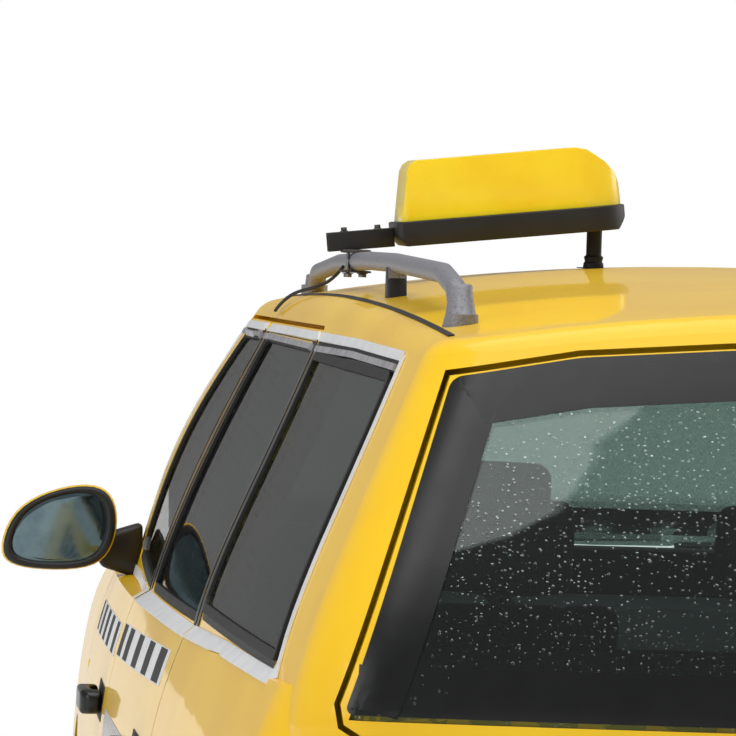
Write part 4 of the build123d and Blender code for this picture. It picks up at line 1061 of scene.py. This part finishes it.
def mirror_rings(name, rings, finish, cap=True, replaces=()):
    """Skin through rings of the mirror's outline; a ring is (y, share of the rim's size)."""
    first_y, first_share = rings[0]
    corners = [MIRROR_MIDDLE + (Vector(corner) - MIRROR_MIDDLE) * first_share for corner in MIRROR_RIM]
    obj = drawn_outline([(x, first_y, z) for x, z in corners], "NOTHING")
    count = len(MIRROR_RIM)
    bpy.ops.object.mode_set(mode="EDIT")
    bpy.ops.mesh.select_mode(type="EDGE")
    bpy.ops.mesh.select_all(action="SELECT")
    for (y_before, before), (y, share) in zip(rings, rings[1:]):
        bpy.ops.mesh.extrude_edges_move(TRANSFORM_OT_translate={"value": (0, y - y_before, 0)})
        bpy.ops.object.mode_set(mode="OBJECT")
        for v in obj.data.vertices[-count:]:
            v.co.x = MIRROR_MIDDLE.x + (v.co.x - MIRROR_MIDDLE.x) * share / before
            v.co.z = MIRROR_MIDDLE.y + (v.co.z - MIRROR_MIDDLE.y) * share / before
        bpy.ops.object.mode_set(mode="EDIT")
    if cap:
        bpy.ops.mesh.edge_face_add()
        bpy.ops.mesh.inset(thickness=0.006, depth=0)
    bpy.ops.mesh.select_all(action="SELECT")
    bpy.ops.mesh.normals_make_consistent(inside=False)
    bpy.ops.object.mode_set(mode="OBJECT")
    add_modifier(obj, "SUBSURF", levels=2, render_levels=2)
    return finish_piece(obj, name, finish, "front_door_left", 60, replaces)


SHELL_RINGS = [(-0.779, 0.90), (-0.7785, 1.02), (-0.786, 1.05), (-0.800, 1.055), (-0.820, 1.03), (-0.838, 0.92),
               (-0.851, 0.66), (-0.853, 0.3)]
RIM_RINGS = [(-0.784, 0.84), (-0.776, 0.86), (-0.7735, 0.90), (-0.7735, 0.97), (-0.777, 1.01), (-0.784, 1.035),
             (-0.788, 0.99)]
shell = mirror_rings("mirror_shell_left", SHELL_RINGS, taxi_paint, replaces=["mirror_left"])
rim = mirror_rings("mirror_rim_left", RIM_RINGS, black_plastic, cap=False)
mirror_glass = mirror_rings("mirror_glass_left", [(-0.786, 0.90), (-0.7815, 0.90)], mirror_metal)
MIRROR_FOOT_Z = 0.990
mirror_foot = sized_box((0.811, -0.822, MIRROR_FOOT_Z), (0.072, 0.050, 0.050))
for v in mirror_foot.data.vertices:
    if v.co.x < 0.80:
        v.co.z += 0.022 if v.co.z > MIRROR_FOOT_Z else -0.022
        v.co.y -= 0.030
bevel(mirror_foot, 0.012, 4)
add_modifier(mirror_foot, "SUBSURF", levels=1, render_levels=1)
finish_piece(mirror_foot, "mirror_foot_left", black_plastic, "front_door_left", 60)
for piece in (shell, rim, mirror_glass, mirror_foot):
    replaces = ["mirror_right"] if piece is shell else ()
    placed_copy(piece, piece.name.replace("left", "right"), "front_door_right", replaces)

# %% [markdown]
# The door handles are black flaps over a hollow in the door. A hollow is hard to cut in a finished panel, so
# its shade is painted: a thin dark sheet laid on the paint, and the flap stands over it on two ends.

# %% Door handles
HANDLES = {"front_door": (-0.225, 0.795, 0.8665), "rear_door": (0.790, 0.800, 0.868)}
HOLLOW_SHADE = [(-0.110, -0.026), (0.075, -0.028), (0.085, 0), (0.075, 0.024), (-0.110, 0.026), (-0.120, 0)]
HOLLOW_SHADE_THICK, FLAP_SIZE = 0.0006, (0.028, 0.150, 0.038)
for stem, (y, z, skin_x) in HANDLES.items():
    # The dark sheet laid here is painted shade: it stands for the shadow inside the hollow behind the handle.
    hollow_shade = plate([(y + along, z + up_by) for along, up_by in HOLLOW_SHADE], "side", 0.02, HOLLOW_SHADE_THICK, FILM_LIFT)
    both_sides(hollow_shade, f"{stem}_handle_dish", seal_rubber, stem + "_{}")
    middle = y - 0.015
    flap = sized_box((skin_x + 0.0185, middle, z), FLAP_SIZE)
    slice_across(1, [middle + cut for cut in (-0.060, -0.040, 0.040, 0.060)])
    for v in flap.data.vertices:
        reach = abs(v.co.y - middle)
        if v.co.x < skin_x + 0.010 and reach < 0.05:
            v.co.x = skin_x + 0.012
        elif v.co.x < skin_x + 0.010:
            v.co.x = skin_x - 0.002
        if reach > 0.07:
            v.co.x = min(v.co.x, skin_x + 0.022)
            v.co.z = z + (v.co.z - z) * 0.7
    bevel(flap, 0.011, 4)
    add_modifier(flap, "SUBSURF", levels=1, render_levels=1)
    both_sides(flap, f"{stem}_handle", gloss_black, stem + "_{}", 60)
print("handles:", list(HANDLES))

# %% [markdown]
# A tyre's cross-section is drawn once, with its round shoulders and four grooves, and the Screw modifier turns
# it into a ring. Then every third slice of the shoulders is pushed in, which gives the cross grooves that
# separate the tread blocks.


# %% Tyres
TREAD_STEPS = 144


def lathe(profile, steps, closed=True):
    """Turns a profile of (across, radius) corners round the X axis."""
    obj = drawn_outline([(across, 0, radius) for across, radius in profile], "NOTHING")
    if not closed:
        last = {0, len(profile) - 1}
        for edge in obj.data.edges:
            edge.select = set(edge.vertices) == last
        bpy.ops.object.mode_set(mode="EDIT")
        bpy.ops.mesh.select_mode(type="EDGE")
        bpy.ops.mesh.delete(type="EDGE")
        bpy.ops.object.mode_set(mode="OBJECT")
    add_modifier(obj, "SCREW", axis="X", steps=steps, render_steps=steps, use_merge_vertices=True,
                 use_smooth_shade=True)
    apply_all(obj)
    edit_all()
    bpy.ops.mesh.normals_make_consistent(inside=False)
    bpy.ops.object.mode_set(mode="OBJECT")
    return obj


half_tread = [(0.0, 0.316)]
for start in (0.012, 0.044):
    half_tread += [(start, 0.3158), (start + 0.0012, 0.3085), (start + 0.0068, 0.3085), (start + 0.008, 0.3154)]
half_tread += [(0.066, 0.3138), (0.080, 0.3098), (0.0895, 0.302), (0.0955, 0.288), (0.0975, 0.268),
               (0.0972, 0.245), (0.0925, 0.224), (0.0855, 0.208), (0.079, 0.1975), (0.070, 0.196), (0.066, 0.199)]
tyre_profile = half_tread + [(0.066, 0.222), (-0.066, 0.222)] + [(-a, r) for a, r in reversed(half_tread[1:])]
tyre = lathe(tyre_profile, TREAD_STEPS)
for face in tyre.data.polygons:
    c = face.center
    angle = math.degrees(math.atan2(c.y, c.z)) % 360
    ring = int(angle / 360 * TREAD_STEPS)
    radius = math.hypot(c.y, c.z)
    shoulder = 0.052 < abs(c.x) < 0.088 and radius > 0.306
    middle = 0.021 < abs(c.x) < 0.042 and radius > 0.314
    face.select = (shoulder and ring % 3 == 0) or (middle and ring % 3 == 1)
bpy.ops.object.mode_set(mode="EDIT")
bpy.ops.mesh.select_mode(type="FACE")
bpy.ops.mesh.inset(thickness=0.0032, depth=0, use_boundary=True)
bpy.ops.mesh.extrude_region_shrink_fatten(TRANSFORM_OT_shrink_fatten={"value": -0.006})
bpy.ops.object.mode_set(mode="OBJECT")
for v in tyre.data.vertices:
    v.co.x += TRACK_X
    v.co.z += HUB_Z
finish_piece(tyre, "tyre_pattern", tyre_rubber, "car", 30)
print("tyre facets:", len(tyre.data.polygons))

# %% [markdown]
# The wheels are silver alloy with seven spokes. The rim is one turned profile. A spoke is a bar that is wide at
# the rim and narrow at the hub; one is made and copied round the axle. A brake disc shows behind the spokes.

# %% Alloy wheels
RIM_PROFILE = [(0.078, 0.1955), (0.0795, 0.201), (0.076, 0.203), (0.072, 0.198), (0.060, 0.190), (0.052, 0.180),
               (0.020, 0.176), (-0.055, 0.172), (-0.066, 0.186), (-0.078, 0.1955), (-0.078, 0.188), (-0.060, 0.166),
               (0.018, 0.170), (0.052, 0.172), (0.064, 0.184)]
HUB_PROFILE = [(0.058, 0.0005), (0.058, 0.024), (0.054, 0.029), (0.052, 0.034), (0.052, 0.068), (0.048, 0.074),
               (0.020, 0.076), (0.012, 0.070), (0.012, 0.0005)]
DISC_PROFILE = [(0.004, 0.055), (0.004, 0.135), (-0.008, 0.135), (-0.008, 0.055)]
SPOKE_FOOT, SPOKE_LENGTH, NUT_CIRCLE = 0.064, 0.12, 0.052


def spoke(angle):
    """One spoke from hub to rim, turned round the axle by angle."""
    obj = sized_box((0.040, 0, SPOKE_FOOT + SPOKE_LENGTH / 2), (0.020, 0.040, SPOKE_LENGTH))
    slice_across(2, (0.09, 0.125, 0.16))
    for v in obj.data.vertices:
        share = (v.co.z - SPOKE_FOOT) / SPOKE_LENGTH
        v.co.y *= 0.75 + 0.9 * abs(share - 0.45)
        if v.co.x > 0.04:
            v.co.x += 0.008 * share - 0.006 * math.sin(share * math.pi)
            v.co.y *= 0.72
    bevel(obj, 0.004, 3)
    apply_all(obj)
    obj.data.transform(Matrix.Rotation(angle, 4, "X"))
    return obj


def lug_nut(angle):
    """One wheel nut on its circle, with its axis along the axle."""
    place = (0.056, NUT_CIRCLE * math.sin(angle), NUT_CIRCLE * math.cos(angle))
    return cylinder(6, 0.0095, 0.018, place, (0, math.radians(90), 0))


SPOKE_COUNT, NUT_COUNT = 7, 5
wheel_parts = [lathe(RIM_PROFILE, 96), lathe(HUB_PROFILE, 64, closed=False)]
wheel_parts += [spoke(math.tau * i / SPOKE_COUNT) for i in range(SPOKE_COUNT)]
wheel_parts += [lug_nut(math.tau * i / NUT_COUNT) for i in range(NUT_COUNT)]
wheel_parts.append(lathe(DISC_PROFILE, 64))
alloy_wheel = joined_pieces(wheel_parts)
bpy.ops.object.transform_apply(location=True, rotation=True, scale=True)
alloy_wheel.data.transform(Matrix.Translation((TRACK_X, 0, HUB_Z)))
finish_piece(alloy_wheel, "alloy_pattern", silver_alloy, "car", 30)
print("wheel facets:", len(alloy_wheel.data.polygons))

for axle, axle_y in (("front", FRONT_AXLE), ("rear", REAR_AXLE)):
    for side, sign in SIDES:
        body = f"{axle}_wheel_{side}"
        for pattern, kind, node in ((tyre, "treaded_tyre", "tyre"), (alloy_wheel, "alloy_wheel", "rim")):
            placed_copy(pattern, f"{axle}_{kind}_{side}", body, [f"{axle}_{node}_{side}"], sign < 0, axle_y)
bpy.data.objects.remove(tyre)
bpy.data.objects.remove(alloy_wheel)

# %% [markdown]
# Each seat has a cushion, a back and a headrest. A padded piece is not a block: its cloth is blown out by the
# foam, and the seams hold it in. So each one starts a little small, is remeshed into even squares, and Blender's
# Cloth inflates it for 20 frames. No point may move further than the cap. The sewn channels are then pressed in
# along the lines where the covers are stitched.

# %% Seats
seat_cloth = moulded("woven_seat_cloth", "#3A3D43", 1.8, 0.92, 0.9, second="#474B52")
INFLATE_FRAMES, SEAM_HALF, SEAM_DEPTH = 20, 0.007, 0.006


def padded(name, profile, x0, x1, voxel=0.009, cap=0.010, fill=0.7, seams=()):
    """A padded piece over a side-view profile; a seam is (axis, place), pressed in across the piece."""
    obj = pulled_outline([(x0, y, z) for y, z in profile], (x1 - x0, 0, 0))
    bevel(obj, 0.022, 3, 40)
    add_modifier(obj, "REMESH", mode="VOXEL", voxel_size=voxel)
    apply_all(obj)
    rest = [v.co.copy() for v in obj.data.vertices]
    cloth = add_modifier(obj, "CLOTH")
    cloth.settings.use_pressure = True
    cloth.settings.uniform_pressure_force = 4
    cloth.settings.effector_weights.gravity = 0
    cloth.settings.quality = 4
    cloth.point_cache.frame_start = 1
    cloth.point_cache.frame_end = INFLATE_FRAMES
    for step in range(1, INFLATE_FRAMES + 1):
        bpy.context.scene.frame_set(step)
    apply_all(obj)
    bpy.context.scene.frame_set(1)
    for v, start in zip(obj.data.vertices, rest):
        move = v.co - start
        if move.length > cap:
            v.co = start + move.normalized() * cap
    normals = [v.normal.copy() for v in obj.data.vertices]
    for v, normal in zip(obj.data.vertices, normals):
        depth = max((math.exp(-(((v.co[axis] - place) / SEAM_HALF) ** 2)) for axis, place in seams), default=0.0)
        v.co -= normal * SEAM_DEPTH * depth
    finish_piece(obj, name, seat_cloth, "car", 180)
    return obj


def chrome_post(name, foot, top, radius=0.006):
    """A straight steel post between two points."""
    start, end = Vector(foot), Vector(top)
    turn = (end - start).to_track_quat("Z", "Y").to_euler()
    rod = cylinder(20, radius, (end - start).length, (start + end) / 2, turn)
    return finish_piece(rod, name, zinc_bolt, "car")


SEAT_X = 0.370
CUSHION = [(-0.460, 0.352), (-0.468, 0.424), (-0.434, 0.458), (-0.20, 0.446), (0.020, 0.440), (0.046, 0.352)]
BACK = [(0.040, 0.462), (0.105, 0.670), (0.200, 0.985), (0.246, 0.996), (0.288, 0.976), (0.225, 0.730),
        (0.146, 0.440), (0.08, 0.415)]
HEADREST = [(0.224, 1.070), (0.233, 1.186), (0.284, 1.196), (0.311, 1.174), (0.293, 1.060)]
SEAT_SIDES, BACK_SEAMS = (SEAT_X - 0.240, SEAT_X + 0.240), ((2, 0.62), (2, 0.84))
SEAT_SEAMS = ((0, SEAT_X - 0.150), (0, SEAT_X + 0.150))
cushion = padded("seat_cushion_left", CUSHION, *SEAT_SIDES, seams=(*SEAT_SEAMS, (1, -0.30), (1, -0.10)))
back = padded("seat_back_left", BACK, *SEAT_SIDES, seams=(*SEAT_SEAMS, *BACK_SEAMS))
rest_pad = padded("headrest_left", HEADREST, SEAT_X - 0.122, SEAT_X + 0.122, 0.006, 0.008, 0.8)
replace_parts(cushion, "front_seat_left")
for piece, stem in ((cushion, "seat_cushion"), (back, "seat_back"), (rest_pad, "headrest")):
    twin = placed_copy(piece, f"{stem}_right", "car", ["front_seat_right"] if piece is cushion else ())
for side, sign in SIDES:
    x = sign * SEAT_X
    small_block(f"seat_base_{side}", (x - 0.19, -0.39, 0.219), (x + 0.19, 0.035, 0.350), cabin_trim,
                0.01)
    for i, aside in enumerate((-0.06, 0.06)):
        chrome_post(f"headrest_post_{side}_{i}", (x + aside, 0.240, 0.960), (x + aside, 0.262, 1.085))

BENCH_CUSHION = [(0.449, 0.342), (0.440, 0.436), (0.473, 0.480), (0.70, 0.474), (0.885, 0.480), (0.892, 0.40),
                 (0.80, 0.342)]
BENCH_BACK = [(0.905, 0.498), (1.017, 0.975), (1.058, 0.988), (1.098, 0.970), (1.002, 0.494)]
BENCH_REST = [(1.038, 1.054), (1.058, 1.166), (1.095, 1.180), (1.120, 1.162), (1.106, 1.050)]
BENCH_SIDES, BENCH_SEAMS = (-0.606, 0.606), tuple((0, x) for x in (-0.42, -0.20, 0.20, 0.42))
bench = padded("bench_cushion", BENCH_CUSHION, *BENCH_SIDES, 0.011, seams=(*BENCH_SEAMS, (1, 0.60), (1, 0.76)))
padded("bench_back", BENCH_BACK, *BENCH_SIDES, 0.011, seams=(*BENCH_SEAMS, *BACK_SEAMS))
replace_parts(bench, "rear_bench")
bench_rest = padded("bench_headrest_left", BENCH_REST, 0.307, 0.483, 0.006, 0.008, 0.8)
placed_copy(bench_rest, "bench_headrest_right", "car")
padded("bench_headrest_middle", BENCH_REST, -0.113, 0.113, 0.006, 0.008, 0.8)
small_block("bench_base", (-0.55, 0.486, 0.219), (0.55, 0.80, 0.345), carpet, 0.008)
for i, x in enumerate((-0.395, -0.06, 0.06, 0.395)):
    chrome_post(f"bench_post_{i}", (x, 1.055, 0.960), (x, 1.078, 1.075))

# %% [markdown]
# The number plates are blank white plates on a dark backing, in front and behind. Black grained strips protect
# the bumpers and the doors. All of them are pressed on to the panels, so they follow the curve of the body.

# %% Plates and rubbing strips
def panel_strip(corners, seen_from, thick):
    return plate(corners, seen_from, 0.05, thick, STRIP_LIFT)


def box_corners(a0, a1, b0, b1, cut=0.0):
    """An upright box outline with its corners cut off."""
    return [(a0 + cut, b0), (a1 - cut, b0), (a1, b0 + cut), (a1, b1 - cut), (a1 - cut, b1), (a0 + cut, b1),
            (a0, b1 - cut), (a0, b0 + cut)]


for stem, low, high in (("front_door", -0.985, -0.095), ("rear_door", -0.045, 0.880)):
    strip = panel_strip(box_corners(low, high, 0.560, 0.605, 0.008), "side", 0.008)
    both_sides(strip, f"{stem}_strip", black_plastic, stem + "_{}", 40)
# Name, half width, foot, top and cut corner, seen from, finish, body and thickness.
FLAT_PIECES = (
    ("rear_bumper_strip", 0.66, 0.470, 0.520, 0.010, "rear", black_plastic, "car", 0.0012),
    ("front_bumper_strip", 0.66, 0.470, 0.520, 0.010, "front", black_plastic, "car", 0.0012),
    ("rear_plate_backing", 0.268, 0.727, 0.853, 0.008, "rear", gloss_black, "tailgate", 0.004),
    ("rear_plate_blank", 0.258, 0.735, 0.845, 0.006, "rear", white_plate, "tailgate", 0.0052),
    ("front_plate_backing", 0.268, 0.310, 0.436, 0.008, "front", gloss_black, "car", 0.004),
    ("front_plate_blank", 0.258, 0.318, 0.428, 0.006, "front", white_plate, "car", 0.0052),
)
for name, half, foot, top, cut, seen_from, finish, body, thick in FLAT_PIECES:
    piece = panel_strip(box_corners(-half, half, foot, top, cut), seen_from, thick)
    finish_piece(piece, name, finish, body, 40)
grille_low, grille_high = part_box("grille")
BAR_COUNT, BAR_HALF = 5, 0.005
for i in range(BAR_COUNT):
    bar_z = grille_low[2] + (grille_high[2] - grille_low[2]) * (i + 0.5) / BAR_COUNT
    piece = panel_strip(box_corners(-0.35, 0.35, bar_z - BAR_HALF, bar_z + BAR_HALF), "front", 0.004)
    finish_piece(piece, f"grille_bar_{i}", gloss_black, "car", 40)
print("strips, plates and grille bars on")

# %% [markdown]
# Behind each clear headlamp cover sit two chrome bowls with a bulb. A bowl is half a sphere, cut open towards
# the front and flattened along the car. The cover is the CAD part, which is a hollow shell.

# %% Headlamp insides
lamp_low, lamp_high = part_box("headlamp_left")
BOWL_RADIUS, BULB_SHARE = 0.052, 0.2


def lamp_bowl(name, place, radius):
    """A reflector bowl with its bulb."""
    deselect()
    bpy.ops.mesh.primitive_uv_sphere_add(segments=32, ring_count=16, radius=radius, location=(0, 0, 0))
    bowl = bpy.context.object
    edit_all()
    bpy.ops.mesh.bisect(plane_co=(0, 0, 0), plane_no=(0, -1, 0), clear_outer=True)
    bpy.ops.object.mode_set(mode="OBJECT")
    add_modifier(bowl, "SOLIDIFY", thickness=0.002, offset=1.0)
    apply_all(bowl)
    bowl.scale = (1, 0.7, 1)
    bowl.location = place
    bpy.ops.object.transform_apply(location=True, rotation=True, scale=True)
    deselect()
    bulb_place = Vector(place) + Vector((0, radius * 0.25, 0))
    bpy.ops.mesh.primitive_uv_sphere_add(segments=20, ring_count=12, radius=radius * BULB_SHARE, location=bulb_place)
    bulb = bpy.context.object
    bulb.scale = (1, 1.6, 1)
    made = joined_pieces([bowl, bulb])
    return finish_piece(made, name, chrome, "car", 60)


lamp_mid = (Vector(lamp_low) + Vector(lamp_high)) / 2
LAMP_BOWLS = {"dip": (0.055, 0.006), "main": (-0.065, 0.016)}
for use, (across, back_by) in LAMP_BOWLS.items():
    for side, sign in SIDES:
        place = (sign * (lamp_mid.x + across), lamp_mid.y + back_by, lamp_mid.z)
        lamp_bowl(f"{use}_beam_bowl_{side}", place, BOWL_RADIUS)
print("headlamp box:", [round(c, 3) for c in (*lamp_low, *lamp_high)])

# %% Finish
bpy.context.scene.view_settings.view_transform = "Standard"
bpy.data.objects.remove(body_skin)
